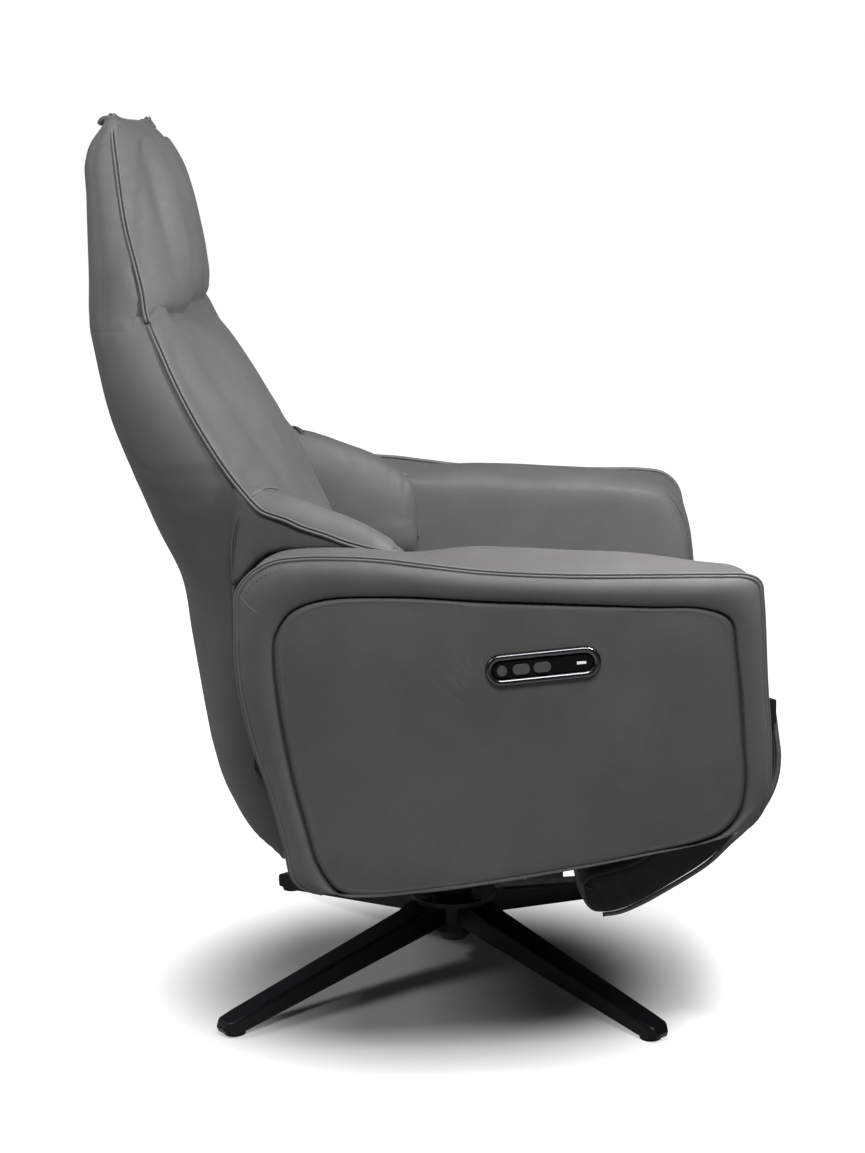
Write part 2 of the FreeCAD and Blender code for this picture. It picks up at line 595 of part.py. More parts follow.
def make_back():
    low_y, low_z = on_back("0.054", "0")
    top_y, top_z = on_back("1", "0")
    mid_y, mid_z = on_back("0.5", "0")
    half = "seat_half - 15 - run"
    pieces = [rod("low_rail", "x", "rail_radius", "2 * (%s)" % half, "-(%s)" % half, low_y, low_z),
              rod("top_rail", "x", "rail_radius", "2 * (seat_half - 89)", "-(seat_half - 89)", top_y, top_z),
              rod("mid_rail", "x", "rail_radius - 3", "2 * (seat_half - 69)", "-(seat_half - 69)", mid_y, mid_z)]
    for sign in (-1, 1):
        post = doc.addObject("Part::Cylinder", "back_post_%d" % (sign + 1))
        post.setExpression("Radius", linked("rail_radius"))
        post.setExpression("Height", linked("0.946 * sqrt(back_rise ^ 2 + back_lean ^ 2)"))
        place(post, "%d * (seat_half - 79)" % sign, low_y, low_z, axis=(-1, 0, 0),
              angle="atan(back_lean / back_rise)")
        pieces.append(post)
    keep(fuse("back_frame_welded", *pieces), "back_frame")

    ears = []
    for name, low, high in (("right", "-(seat_half - 10)", "-(seat_half - 15)"),
                            ("left", "seat_half - 15", "seat_half - 10")):
        blank = side("hinge_blank_" + name, (("pivot_y - 20", "pivot_z - 18"), ("pivot_y + 44", "pivot_z - 18"),
                                              ("pivot_y + 44", "pivot_z + 24"), ("pivot_y - 20", "pivot_z + 20")),
                     low, high)
        hole = rod("hinge_hole_" + name, "x", "pin_radius + run", "15", low + " - 5", "pivot_y", "pivot_z")
        ears.append(cut("hinge_ear_" + name, blank, hole))
    keep(group("hinge_ear_set", *ears), "back_brackets")

    front = (on_back("1.01", "-13.6"), on_back("0.983", "-40"), on_back("0.94", "-80"),
             on_back("0.909", "-106"), on_back("0.744", "-132"), on_back("0.565", "-147"),
             on_back("0.391", "-146"), on_back("0.239", "-136"), on_back("0.1", "-112"),
             on_back("0.098", "-13.6"))
    depth = side("cushion_depth", front, "-seat_half + 19", "seat_half - 19")
    width = slab("cushion_width", "XZ_Plane",
                 (("-seat_half + 19", "pivot_z - 20"), ("seat_half - 19", "pivot_z - 20"),
                  ("seat_half - 19", "pivot_z - 20 + back_rise * 0.65"), ("head_half - 5", "head_z + 10"),
                  ("-head_half + 5", "head_z + 10"), ("-seat_half + 19", "pivot_z - 20 + back_rise * 0.65")),
                 "-100", "600")
    keep(common("cushion_back", depth, width), "back_cushion")

    rear = (on_back("1.025", "13.6"), on_back("1.04", "48"), on_back("0.98", "56"), on_back("0.68", "73"),
            on_back("0.3", "73"), on_back("0.02", "78"), ("pivot_y + 74", "pivot_z - back_tail + 20"),
            ("pivot_y + 42", "pivot_z - back_tail"), ("pivot_y + 34", "pivot_z - back_tail"),
            ("pivot_y + 54", "pivot_z - back_tail + 38"), ("pivot_y + 56", "pivot_z - 20"),
            on_back("0.1", "13.6"))
    depth = side("shell_depth", rear, "-seat_half - 20", "seat_half + 20")
    width = slab("shell_width", "XZ_Plane",
                 (("-seat_half + 9", "0"), ("seat_half - 9", "0"), ("seat_half - 9", "pivot_z + back_rise * 0.45"),
                  ("seat_half + 11", "pivot_z + back_rise * 0.55"), ("head_half", "head_z + 10"),
                  ("-head_half", "head_z + 10"), ("-seat_half - 11", "pivot_z + back_rise * 0.55"),
                  ("-seat_half + 9", "pivot_z + back_rise * 0.45")), "-100", "600")
    keep(common("shell_back", depth, width), "back_shell")

    def wing(name, span):
        points = (("pivot_y - 148", "arm_top + 5"), ("pivot_y + 10", "arm_top + 5"),
                  ("pivot_y + 54", "arm_top + 34"), ("pivot_y + 62", "arm_top + 92"),
                  ("pivot_y + 19", "arm_top + 60"), ("pivot_y - 36", "arm_top + 53"),
                  ("pivot_y - 81", "arm_top + 35"), ("pivot_y - 114", "arm_top + 17"))
        return side(name, points, *span("seat_half - 19 + gap", "seat_half + 31"))
    both_sides("wing", wing)

    plates = []
    for name, low, high in (("right", "-14", "-10"), ("left", "10", "14")):
        plates.append(side("clevis_" + name, (("pivot_y + lever_back - 14", "pivot_z - lever - 14"),
                                              ("pivot_y + lever_back + 14", "pivot_z - lever - 14"),
                                              ("pivot_y + lever_back + 14", low_z + " - rail_radius - 0.1"),
                                              ("pivot_y + lever_back - 14", low_z + " - rail_radius - 0.1")),
                           low, high))
    pin = rod("clevis_pin", "x", "cross_pin", "36", "-18", "pivot_y + lever_back", "pivot_z - lever")
    keep(fuse("clevis", *plates, pin), "drive_clevis")


def make_back_rod():
    rod_z = "pivot_z - lever"
    pin_y = "pivot_y + lever_back"
    bar = rod("drive_bar", "y", "rod_radius", pin_y + " + 6", "0", "-20", rod_z)
    eye = box("drive_eye", ("-8", "8"), (pin_y + " - 16", pin_y + " + 13"), (rod_z + " - 16", rod_z + " + 16"))
    slot = box("drive_slot", ("-12", "12"), (pin_y + " - cross_pin - 1", pin_y + " + cross_pin + 1"),
               (rod_z + " - cross_pin - 5", rod_z + " + cross_pin + 5"))
    keep(cut("drive_rod", fuse("drive_rod_solid", bar, eye), slot), "back_rod")


# ---------------------------------------------------------------- headrest

def make_headrest():
    top_y, top_z = on_back("1", "0")
    plates = []
    uppers = []
    for name, sign in (("right", -1), ("left", 1)):
        low, high = ("-64", "-60") if sign < 0 else ("60", "64")
        plate = side("head_low_" + name, ((top_y + " - 10", top_z + " + rail_radius + 0.1"),
                                          (top_y + " + 14", top_z + " + rail_radius + 0.1"),
                                          ("head_y + 9", "head_z - 3"), ("head_y + 7", "head_z + 9"),
                                          ("head_y - 7", "head_z + 9")), low, high)
        pin = rod("head_pin_" + name, "x", "cross_pin", "12", "-71" if sign < 0 else "59", "head_y", "head_z")
        plates.append(fuse("head_low_whole_" + name, plate, pin))
        low, high = ("-69", "-65") if sign < 0 else ("65", "69")
        plate = side("head_up_" + name, (("head_y - 9", "head_z - 9"), ("head_y + 9", "head_z - 9"),
                                         ("head_y + 9", "head_z + 70"), ("head_y - 2", "head_z + 70"),
                                         ("head_y - 2", "head_z + 28"), ("head_y - 9", "head_z + 28")), low, high)
        hole = rod("head_hole_" + name, "x", "cross_pin + run", "10", low + " - 3", "head_y", "head_z")
        uppers.append(cut("head_up_whole_" + name, plate, hole))
    keep(group("head_low_set", *plates), "headrest_hinge_lower")
    keep(group("head_up_set", *uppers), "headrest_hinge_upper")

    width_points = (("-head_half", "head_z - 50"), ("head_half", "head_z - 50"), ("head_half", "head_z + 10"),
                    ("ear_half", "head_z + head_rise"), ("-ear_half", "head_z + head_rise"),
                    ("-head_half", "head_z + 10"))
    keep(box("board", ("-ear_half + 10", "ear_half - 10"), ("head_y - 12", "head_y - 2"),
             ("head_z + 28 + gap", "head_z + head_rise - 26")), "headrest_plate")
    front = (("head_y - 12.3", "head_z + 18"), ("head_y - 12.3", "head_z + head_rise"),
             ("head_y - 31", "head_z + head_rise"), ("head_y - 52", "head_z + head_rise - 19"),
             ("head_y - 69", "head_z + head_rise - 47"), ("head_y - 88", "head_z + 94"),
             ("head_y - 96", "head_z + 30"), ("head_y - 94", "head_z + 2"), ("head_y - 34", "head_z + 2"))
    depth = side("head_front_depth", front, "-head_half - 5", "head_half + 5")
    width = slab("head_front_width", "XZ_Plane", width_points, "-100", "600")
    keep(common("head_front", depth, width), "headrest_cushion")
    rear = (("head_y - 1.7", "head_z + 2"), ("head_y + 42", "head_z + 2"), ("head_y + 49", "head_z + 60"),
            ("head_y + 48", "head_z + 121"), ("head_y + 38", "head_z + head_rise - 28"),
            ("head_y + 20", "head_z + head_rise"), ("head_y - 1.7", "head_z + head_rise"))
    depth = side("head_rear_depth", rear, "-head_half - 5", "head_half + 5")
    width = slab("head_rear_width", "XZ_Plane", width_points, "-100", "600")
    pocket = box("head_pocket", ("-90", "90"), ("head_y - 20", "head_y + 13"), ("head_z - 10", "head_z + 76"))
    keep(cut("head_rear", common("head_rear_solid", depth, width), pocket), "headrest_shell")


# ---------------------------------------------------------------- footrest

def from_shaft(forward, down):
    """A side-view point measured from the footrest shaft: behind it, and below it."""
    return ("shaft_y + (%s)" % forward, "shaft_z - (%s)" % down)


def make_footrest():
    keep(rod("lift_shaft", "x", "shaft_radius", "2 * (seat_half + plate_thick)", "-(seat_half + plate_thick)",
             "shaft_y", "shaft_z"), "footrest_shaft")
    outer = ((-24, 6), (-25, 60), (-20, 90), (-10, 112), (16, 150), (55, 191), (108, 223), (150, 239),
             (182, 246), (196, 245), (206, 233), (208, 215))
    inner = ((152, 188), (95, 154), (54, 114), (32, 64), (23, 30), (24, 6))
    points = [from_shaft(back, down) for back, down in outer + inner]
    block = side("pad_block", points, "-seat_half + 4", "seat_half - 4")
    nose = rod("pad_nose_roll", "x", "pad_nose", "2 * (seat_half - 4)", "-seat_half + 4", "shaft_y", "shaft_z")
    bore = rod("pad_bore", "x", "shaft_radius + gap", "2 * seat_half", "-seat_half", "shaft_y", "shaft_z")
    notch = box("pad_notch", ("-notch_half", "notch_half"), ("shaft_y - shaft_radius - 2", "shaft_y + 80"),
                ("shaft_z - 75", "shaft_z + 40"))
    keep(cut("pad", fuse("pad_solid", block, nose), bore, notch), "footrest_pad")

    board = [from_shaft(back, down) for back, down in
             ((26.3, 40), (32.7, 64), (54.5, 113.3), (95.4, 153.3), (152, 187.1), (157, 179), (100.5, 145.3),
              (62.5, 108.3), (41.7, 61), (35.3, 40))]
    sheet_board = side("board_blank", board, "-seat_half + 12", "seat_half - 12")
    board_notch = box("board_notch", ("-notch_half", "notch_half"), ("shaft_y - 20", "shaft_y + 80"),
                      ("shaft_z - 75", "shaft_z + 40"))
    keep(cut("lift_board", sheet_board, board_notch), "footrest_board")

    arms = []
    for name, low, high in (("right", "-(notch_half - 3)", "-(notch_half - 8)"),
                            ("left", "notch_half - 8", "notch_half - 3")):
        blank = side("lift_arm_" + name, [from_shaft(back, down) for back, down in
                                          ((-9, -12), (12, -14), (34, 28), (60, 74), (72, 112), (84, 129),
                                           (63, 108.2), (48.5, 74.8), (4, 72), (-9, 40))], low, high)
        hole = rod("lift_arm_hole_" + name, "x", "shaft_radius + run / 2", "20", low + " - 5",
                   "shaft_y", "shaft_z")
        arms.append(cut("lift_arm_whole_" + name, blank, hole))
    keep(group("lift_arm_set", *arms), "footrest_arms")

    pin_y = "shaft_y + crank_throw * cos(30)"
    pin_z = "shaft_z - crank_throw * sin(30)"
    web = side("crank_web", (("shaft_y - 11", "shaft_z - 11"), ("shaft_y - 11", "shaft_z + 10"),
                             ("shaft_y + 4", "shaft_z + 15"), (pin_y + " + 7", pin_z + " + 7"),
                             (pin_y + " + 8", pin_z + " - 5"), (pin_y + " - 2", pin_z + " - 8"),
                             ("shaft_y", "shaft_z - 16")), "-4", "4")
    pin = rod("crank_pin", "x", "cross_pin", "26", "-13", pin_y, pin_z)
    hole = rod("crank_hole", "x", "shaft_radius + run / 2", "12", "-6", "shaft_y", "shaft_z")
    keep(cut("crank", fuse("crank_solid", web, pin), hole), "footrest_crank")

    rod_z = "shaft_z - 0.75 * crank_throw"
    fork_top = "shaft_z - shaft_radius - 2"
    fork = box("fork_block", ("-11", "11"), (pin_y + " - cross_pin - 10", pin_y + " + cross_pin + 28"),
               (rod_z + " - 22", fork_top))
    slot = box("fork_slot", ("-12", "12"), (pin_y + " - cross_pin - 4", pin_y + " + cross_pin + 4"),
               (rod_z + " - 15", fork_top + " + 5"))
    throat = box("fork_throat", ("-6", "6"), (pin_y + " - cross_pin - 12", pin_y + " + cross_pin + 18"),
                 (rod_z + " - 25", fork_top + " + 5"))
    step = box("fork_step", ("-12", "12"), (pin_y + " + cross_pin + 17", pin_y + " + cross_pin + 30"),
               (rod_z + " + lift_rod_radius", fork_top + " + 5"))
    bar = rod("lift_bar", "y", "lift_rod_radius", "-150 - (%s + cross_pin + 24)" % pin_y, "0",
              pin_y + " + cross_pin + 24", rod_z)
    keep(fuse("lift_rod", cut("fork", fork, slot, throat, step), bar), "footrest_rod")


make_base()
make_mechanism()
make_seat()
make_arms()
make_controls()
make_back()
make_back_rod()
make_headrest()
make_footrest()
doc.recompute()

for item in doc.Objects:
    if "Invalid" in item.State or "Error" in item.State:
        raise RuntimeError("%s (%s) failed: %s" % (item.Name, item.Label, item.State))
for item in parts:
    if item.Shape.isNull() or not item.Shape.isValid() or not item.Shape.Solids:
        raise RuntimeError(item.Label + " has no valid solid")

os.makedirs("parts", exist_ok=True)
for item in parts:
    item.Shape.exportStep("parts/%s.step" % item.Label)
print(len(parts), "sub-parts written")
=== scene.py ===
import math
import bmesh
import bpy
import numpy as np
from mathutils import Matrix, Vector, noise


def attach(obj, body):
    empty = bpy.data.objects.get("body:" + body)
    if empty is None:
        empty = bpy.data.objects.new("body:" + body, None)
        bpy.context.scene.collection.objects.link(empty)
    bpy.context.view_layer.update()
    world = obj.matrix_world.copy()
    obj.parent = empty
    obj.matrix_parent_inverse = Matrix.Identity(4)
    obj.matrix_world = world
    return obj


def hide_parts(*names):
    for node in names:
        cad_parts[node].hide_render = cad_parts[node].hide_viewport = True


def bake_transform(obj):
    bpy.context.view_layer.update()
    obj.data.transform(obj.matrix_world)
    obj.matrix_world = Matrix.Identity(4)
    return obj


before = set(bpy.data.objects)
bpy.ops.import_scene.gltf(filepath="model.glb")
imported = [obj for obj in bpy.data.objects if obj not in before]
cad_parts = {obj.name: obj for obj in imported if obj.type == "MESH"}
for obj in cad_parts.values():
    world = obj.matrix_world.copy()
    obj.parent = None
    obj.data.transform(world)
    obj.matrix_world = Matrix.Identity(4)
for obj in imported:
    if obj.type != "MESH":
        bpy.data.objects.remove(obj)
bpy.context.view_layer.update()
MM = 0.001                             # metres in a millimetre
SIDES = (("right", -1), ("left", 1))   # the sitter's right is -X


# ---------------------------------------------------------------- materials

def new_material(name):
    material = bpy.data.materials.new(name)
    material.use_nodes = True
    shader = material.node_tree.nodes["Principled BSDF"]
    return material, material.node_tree, shader


def object_noise(tree, scale, detail=4.0, rough=0.5):
    """A noise texture in the object's own coordinates, in metres."""
    place = tree.nodes.new("ShaderNodeTexCoord")
    texture = tree.nodes.new("ShaderNodeTexNoise")
    texture.inputs["Scale"].default_value = scale
    texture.inputs["Detail"].default_value = detail
    texture.inputs["Roughness"].default_value = rough
    tree.links.new(place.outputs["Object"], texture.inputs["Vector"])
    return texture


def ramp(tree, source, low, high, place=(0.35, 0.65)):
    """Two values, or two colours, blended by a texture."""
    blend = tree.nodes.new("ShaderNodeValToRGB")
    blend.color_ramp.elements[0].position = place[0]
    blend.color_ramp.elements[1].position = place[1]
    for element, value in zip(blend.color_ramp.elements, (low, high)):
        colour = (value,) * 3 if isinstance(value, float) else value
        element.color = (*colour, 1)
    tree.links.new(source, blend.inputs["Fac"])
    return blend.outputs["Color"]


def leather(name, colour, rough=0.60, grain=0.22):
    """Smooth top-grain leather: fine pebbles, creases, slight mottling and softly uneven gloss."""
    material, tree, shader = new_material(name)
    links = tree.links
    mottle = object_noise(tree, 9.0, 5.0, 0.55)
    dark = tuple(c * 0.90 for c in colour)
    light = tuple(c * 1.09 for c in colour)
    links.new(ramp(tree, mottle.outputs["Fac"], dark, light), shader.inputs["Base Color"])
    gloss = object_noise(tree, 60.0, 3.0)
    links.new(ramp(tree, gloss.outputs["Fac"], rough - 0.04, rough + 0.06), shader.inputs["Roughness"])
    place = tree.nodes.new("ShaderNodeTexCoord")
    pebbles = tree.nodes.new("ShaderNodeTexVoronoi")
    pebbles.feature = "SMOOTH_F1"
    pebbles.inputs["Scale"].default_value = 620.0
    pebbles.inputs["Smoothness"].default_value = 0.7
    warp = object_noise(tree, 220.0, 2.0)
    mix = tree.nodes.new("ShaderNodeVectorMath")
    mix.operation = "MULTIPLY_ADD"
    mix.inputs[1].default_value = (0.002, 0.002, 0.002)
    links.new(warp.outputs["Color"], mix.inputs[0])
    links.new(place.outputs["Object"], mix.inputs[2])
    links.new(mix.outputs[0], pebbles.inputs["Vector"])
    fine = tree.nodes.new("ShaderNodeBump")
    fine.inputs["Strength"].default_value = grain
    fine.inputs["Distance"].default_value = 0.0004
    links.new(pebbles.outputs["Distance"], fine.inputs["Height"])
    creases = object_noise(tree, 38.0, 6.0, 0.6)
    soft = tree.nodes.new("ShaderNodeBump")
    soft.inputs["Strength"].default_value = 0.10
    soft.inputs["Distance"].default_value = 0.003
    links.new(creases.outputs["Fac"], soft.inputs["Height"])
    links.new(soft.outputs["Normal"], fine.inputs["Normal"])
    links.new(fine.outputs["Normal"], shader.inputs["Normal"])
    shader.inputs["Specular IOR Level"].default_value = 0.26
    shader.inputs["Sheen Weight"].default_value = 0.06
    shader.inputs["Sheen Roughness"].default_value = 0.5
    return material


def hard(name, colour, rough, metal=0.0, texture=180.0, strength=0.05, coat=0.0, spread=0.05, gloss=0.5):
    """Painted, moulded or plated surface with a fine texture and uneven gloss."""
    material, tree, shader = new_material(name)
    links = tree.links
    tone = object_noise(tree, 14.0, 4.0)
    dark = tuple(c * 0.93 for c in colour)
    light = tuple(min(1.0, c * 1.07) for c in colour)
    links.new(ramp(tree, tone.outputs["Fac"], dark, light), shader.inputs["Base Color"])
    shine = object_noise(tree, 45.0, 4.0)
    shiny = max(0.02, rough - spread)
    links.new(ramp(tree, shine.outputs["Fac"], shiny, rough + spread), shader.inputs["Roughness"])
    shader.inputs["Specular IOR Level"].default_value = gloss
    bump = tree.nodes.new("ShaderNodeBump")
    bump.inputs["Strength"].default_value = strength
    bump.inputs["Distance"].default_value = 0.0005
    grain = object_noise(tree, texture, 3.0)
    links.new(grain.outputs["Fac"], bump.inputs["Height"])
    links.new(bump.outputs["Normal"], shader.inputs["Normal"])
    shader.inputs["Metallic"].default_value = metal
    shader.inputs["Coat Weight"].default_value = coat
    shader.inputs["Coat Roughness"].default_value = 0.08
    return material


def plywood():
    material, tree, shader = new_material("birch_plywood")
    place = tree.nodes.new("ShaderNodeTexCoord")
    wave = tree.nodes.new("ShaderNodeTexWave")
    wave.inputs["Scale"].default_value = 9.0
    wave.inputs["Distortion"].default_value = 6.0
    wave.inputs["Detail"].default_value = 3.0
    tree.links.new(place.outputs["Object"], wave.inputs["Vector"])
    colour = ramp(tree, wave.outputs["Fac"], (0.42, 0.29, 0.17), (0.56, 0.41, 0.26), (0.2, 0.8))
    tree.links.new(colour, shader.inputs["Base Color"])
    shader.inputs["Roughness"].default_value = 0.6
    return material


GREY = (0.074, 0.073, 0.0705)
LEATHER = leather("grey_leather", GREY)
# painted shade: a copy of the leather at 0.14 of its colour, for the footrest's side faces, standing in for
# the shadow they lie in
LEATHER_PAINTED_SHADE = leather("grey_leather_painted_shade", tuple(c * 0.14 for c in GREY), 0.7)
PIPING = leather("grey_leather_piping", tuple(c * 1.25 for c in GREY), 0.46, 0.12)
THREAD = hard("grey_thread", (0.035, 0.035, 0.034), 0.7, texture=2500.0, strength=0.3)
BLACK_SATIN = hard("black_satin_paint", (0.0035, 0.0033, 0.0052), 0.38, texture=900.0, strength=0.06,
                   gloss=0.3)
BLACK_STEEL = hard("black_coated_steel", (0.006, 0.006, 0.007), 0.5, texture=700.0, strength=0.08,
                   gloss=0.3)
STEEL = hard("bright_steel", (0.42, 0.42, 0.43), 0.3, metal=1.0, texture=600.0)
DARK_CHROME = hard("dark_chrome", (0.085, 0.085, 0.09), 0.2, metal=1.0, texture=300.0, strength=0.02)
GLOSS_BLACK = hard("gloss_black", (0.002, 0.002, 0.0022), 0.22, strength=0.02, gloss=0.2)
BUTTON_GREY = hard("button_grey", (0.055, 0.055, 0.056), 0.36, texture=1500.0, strength=0.05)
LIGHT_WHITE = hard("light_bar", (0.86, 0.87, 0.88), 0.3, strength=0.02)
RUBBER = hard("black_rubber", (0.014, 0.014, 0.014), 0.75, texture=1600.0, strength=0.2)
PLASTIC = hard("matte_black_plastic", (0.018, 0.018, 0.019), 0.55, texture=1400.0, strength=0.15)
PLYWOOD = plywood()
BLACK_PLYWOOD = hard("black_stained_plywood", (0.012, 0.011, 0.010), 0.6, texture=300.0, strength=0.2,
                     gloss=0.25)

NODE_MATERIALS = {
    BLACK_SATIN: ("base_hub", "leg_front_right", "leg_front_left", "leg_rear_right", "leg_rear_left"),
    BLACK_STEEL: ("swivel_plate", "mech_side_left", "mech_side_right", "cross_tube_front", "cross_tube_rear",
                  "seat_frame", "motor_cradle", "back_frame", "back_brackets", "drive_clevis", "swivel_race",
                  "headrest_hinge_lower", "headrest_hinge_upper", "footrest_arms", "footrest_crank",
                  "swivel_column", "swivel_bolts", "leg_bolts"),
    STEEL: ("arm_bolts", "bearing_balls", "recline_pins", "footrest_shaft",
            "back_rod", "footrest_rod", "seat_springs"),
    GLOSS_BLACK: ("control_plate",),
    BUTTON_GREY: ("button_home", "button_open", "button_close"),
    LIGHT_WHITE: ("status_light",),
    RUBBER: ("glide_pads",),
    PLASTIC: ("control_housing", "back_motor", "footrest_motor", "control_box", "dc_inlet"),
    PLYWOOD: ("arm_frame_left", "arm_frame_right", "headrest_plate"),
    BLACK_PLYWOOD: ("footrest_board",),
}
for material, names in NODE_MATERIALS.items():
    for name in names:
        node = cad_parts[name]
        node.data.materials.clear()
        node.data.materials.append(material)


# ---------------------------------------------------------------- geometry helpers

# Points go in as millimetres, and meshes come out in metres.


def dense(points, closed=False, steps=16):
    """A smooth curve through points, any number of coordinates each (centripetal-like Catmull-Rom)."""
    p = np.array(points, float)
    count = len(p)
    out = []
    spans = count if closed else count - 1
    for i in range(spans):
        a = p[(i - 1) % count] if closed or i > 0 else 2 * p[0] - p[1]
        b = p[i]
        c = p[(i + 1) % count]
        d = p[(i + 2) % count] if closed or i + 2 < count else 2 * p[-1] - p[-2]
        t0 = 0.0
        t1 = t0 + max(1e-6, np.linalg.norm(b - a)) ** 0.5
        t2 = t1 + max(1e-6, np.linalg.norm(c - b)) ** 0.5
        t3 = t2 + max(1e-6, np.linalg.norm(d - c)) ** 0.5
        for t in np.linspace(t1, t2, steps, endpoint=False):
            a1 = (t1 - t) / (t1 - t0) * a + (t - t0) / (t1 - t0) * b
            a2 = (t2 - t) / (t2 - t1) * b + (t - t1) / (t2 - t1) * c
            a3 = (t3 - t) / (t3 - t2) * c + (t - t2) / (t3 - t2) * d
            b1 = (t2 - t) / (t2 - t0) * a1 + (t - t0) / (t2 - t0) * a2
            b2 = (t3 - t) / (t3 - t1) * a2 + (t - t1) / (t3 - t1) * a3
            out.append((t2 - t) / (t2 - t1) * b1 + (t - t1) / (t2 - t1) * b2)
    if not closed:
        out.append(p[-1])
    return np.array(out)


def even(points, count, closed=False):
    """Points evenly spaced along a smooth curve through the given ones."""
    line = dense(points, closed)
    if closed:
        line = np.vstack([line, line[:1]])
    steps = np.concatenate([[0], np.cumsum(np.linalg.norm(np.diff(line, axis=0), axis=1))])
    places = np.linspace(0, steps[-1], count, endpoint=not closed)
    return np.stack([np.interp(places, steps, line[:, k]) for k in range(line.shape[1])], 1)


def rows_at(rows, values):
    """Smoothly interpolated rows of a table whose first column rises."""
    table = np.array(rows, float)
    key = table[:, 0]
    out = [np.asarray(values, float)]
    for column in table.T[1:]:
        slope = np.gradient(column, key)
        i = np.clip(np.searchsorted(key, values, side="right") - 1, 0, len(key) - 2)
        h = key[i + 1] - key[i]
        t = (values - key[i]) / h
        out.append((2 * t ** 3 - 3 * t ** 2 + 1) * column[i] + (t ** 3 - 2 * t ** 2 + t) * h * slope[i]
                   + (3 * t ** 2 - 2 * t ** 3) * column[i + 1] + (t ** 3 - t ** 2) * h * slope[i + 1])
    return np.stack(out, 1)


def make_mesh(name, points, faces, material, smooth=True):
    mesh = bpy.data.meshes.new(name)
    mesh.from_pydata([tuple(p) for p in np.asarray(points) * MM], [], faces)
    mesh.materials.append(material)
    mesh.validate()
    if smooth:
        mesh.shade_smooth()
    thing = bpy.data.objects.new(name, mesh)
    bpy.context.scene.collection.objects.link(thing)
    return thing


def skin(name, rings, material, ends=True, closed=True):
    """A surface through equal rings; closed rings wrap round, and ends are capped to a centre."""
    rings = np.asarray(rings, float)
    rows, count = rings.shape[:2]
    points = rings.reshape(-1, 3)
    faces = []
    for r in range(rows - 1):
        for c in range(count if closed else count - 1):
            d = (c + 1) % count
            faces.append((r * count + c, r * count + d, (r + 1) * count + d, (r + 1) * count + c))
    if ends:
        points = np.vstack([points, rings[0].mean(0), rings[-1].mean(0)])
        first, last = len(points) - 2, len(points) - 1
        for c in range(count):
            d = (c + 1) % count
            faces.append((first, d, c))
            faces.append((last, (rows - 1) * count + c, (rows - 1) * count + d))
    thing = make_mesh(name, points, faces, material)
    fix_normals(thing)
    return thing


def fix_normals(thing):
    """Turn every face outward."""
    work = bmesh.new()
    work.from_mesh(thing.data)
    bmesh.ops.recalc_face_normals(work, faces=work.faces)
    work.to_mesh(thing.data)
    work.free()


def sweep(name, path, ups, section, material, closed=False, groove=()):
    """Run a section of (across, up) points along a path whose surface normals are known."""
    path = np.asarray(path, float)
    ups = np.asarray(ups, float)
    along = np.gradient(path, axis=0) if not closed else np.roll(path, -1, 0) - np.roll(path, 1, 0)
    along /= np.linalg.norm(along, axis=1)[:, None]
    across = np.cross(along, ups)
    across /= np.linalg.norm(across, axis=1)[:, None] + 1e-9
    ups = np.cross(across, along)
    rings = [[p + a * x + u * y for x, y in section] for p, a, u in zip(path, across, ups)]
    if closed:
        rings.append(rings[0])
    thing = skin(name, rings, material, ends=not closed)
    if groove:
        thing.data.materials.append(THREAD)
        for face in thing.data.polygons[:(len(rings) - 1) * len(section)]:
            face.material_index = int(face.index % len(section) in groove)
    return thing


def circle(radius, sides=8):
    """A round section, as (across, up) points."""
    return [(radius * math.cos(2 * math.pi * k / sides), radius * math.sin(2 * math.pi * k / sides))
            for k in range(sides)]


# two rolls of leather with a stitched groove between them
WELT = ((-3.6, -1.8), (-3.7, 0.4), (-2.9, 1.9), (-1.7, 2.2), (-0.7, 1.3), (-0.35, -0.9),
        (0.35, -0.9), (0.7, 1.3), (1.7, 2.2), (2.9, 1.9), (3.7, 0.4), (3.6, -1.8))
WELT_SMALL = tuple((x * 0.55, y * 0.5) for x, y in WELT)
WELT_GROOVE = (4, 5, 6)   # the section's edges that show thread


def ridge(name, keys, outs, body, section=WELT, material=PIPING, step=5.0):
    """A piped seam, or another section, along key points whose outward directions are given."""
    both = np.hstack([np.array(keys, float), 60.0 * np.array(outs, float)])
    smooth = dense(both)
    length = np.linalg.norm(np.diff(smooth[:, :3], axis=0), axis=1).sum()
    line = even(both, max(8, int(length / step)))
    outs = line[:, 3:] / np.linalg.norm(line[:, 3:], axis=1)[:, None]
    groove = WELT_GROOVE if section in (WELT, WELT_SMALL) else ()
    thing = sweep(name, line[:, :3], outs, section, material, groove=groove)
    if body:
        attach(thing, body)
    return thing


def stitches(name, path, ups, body, pitch=6.0, long=3.6, radius=0.45):
    """A row of short thread dashes along a path on a surface."""
    path = np.asarray(path, float)
    steps = np.concatenate([[0], np.cumsum(np.linalg.norm(np.diff(path, axis=0), axis=1))])
    points = []
    faces = []
    sides = 5
    for start in np.arange(pitch, steps[-1] - pitch, pitch):
        spots = np.array([[np.interp(start + s * long, steps, path[:, k]) for k in range(3)]
                          for s in (0.0, 0.25, 0.75, 1.0)])
        up = np.array([np.interp(start, steps, ups[:, k]) for k in range(3)])
        up /= np.linalg.norm(up)
        along = spots[-1] - spots[0]
        along /= np.linalg.norm(along)
        across = np.cross(along, up)
        base = len(points)
        for spot, lift in zip(spots, (-0.5, 0.25, 0.25, -0.5)):
            for k in range(sides):
                a = 2 * math.pi * k / sides
                points.append(spot + up * lift + radius * (math.cos(a) * across + math.sin(a) * up))
        for r in range(3):
            for k in range(sides):
                d = (k + 1) % sides
                faces.append((base + r * sides + k, base + r * sides + d, base + (r + 1) * sides + d,
                              base + (r + 1) * sides + k))
        faces.append(tuple(base + k for k in range(sides))[::-1])
        faces.append(tuple(base + 3 * sides + k for k in range(sides)))
    thing = make_mesh(name, points, faces, THREAD)
    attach(thing, body)
    return thing


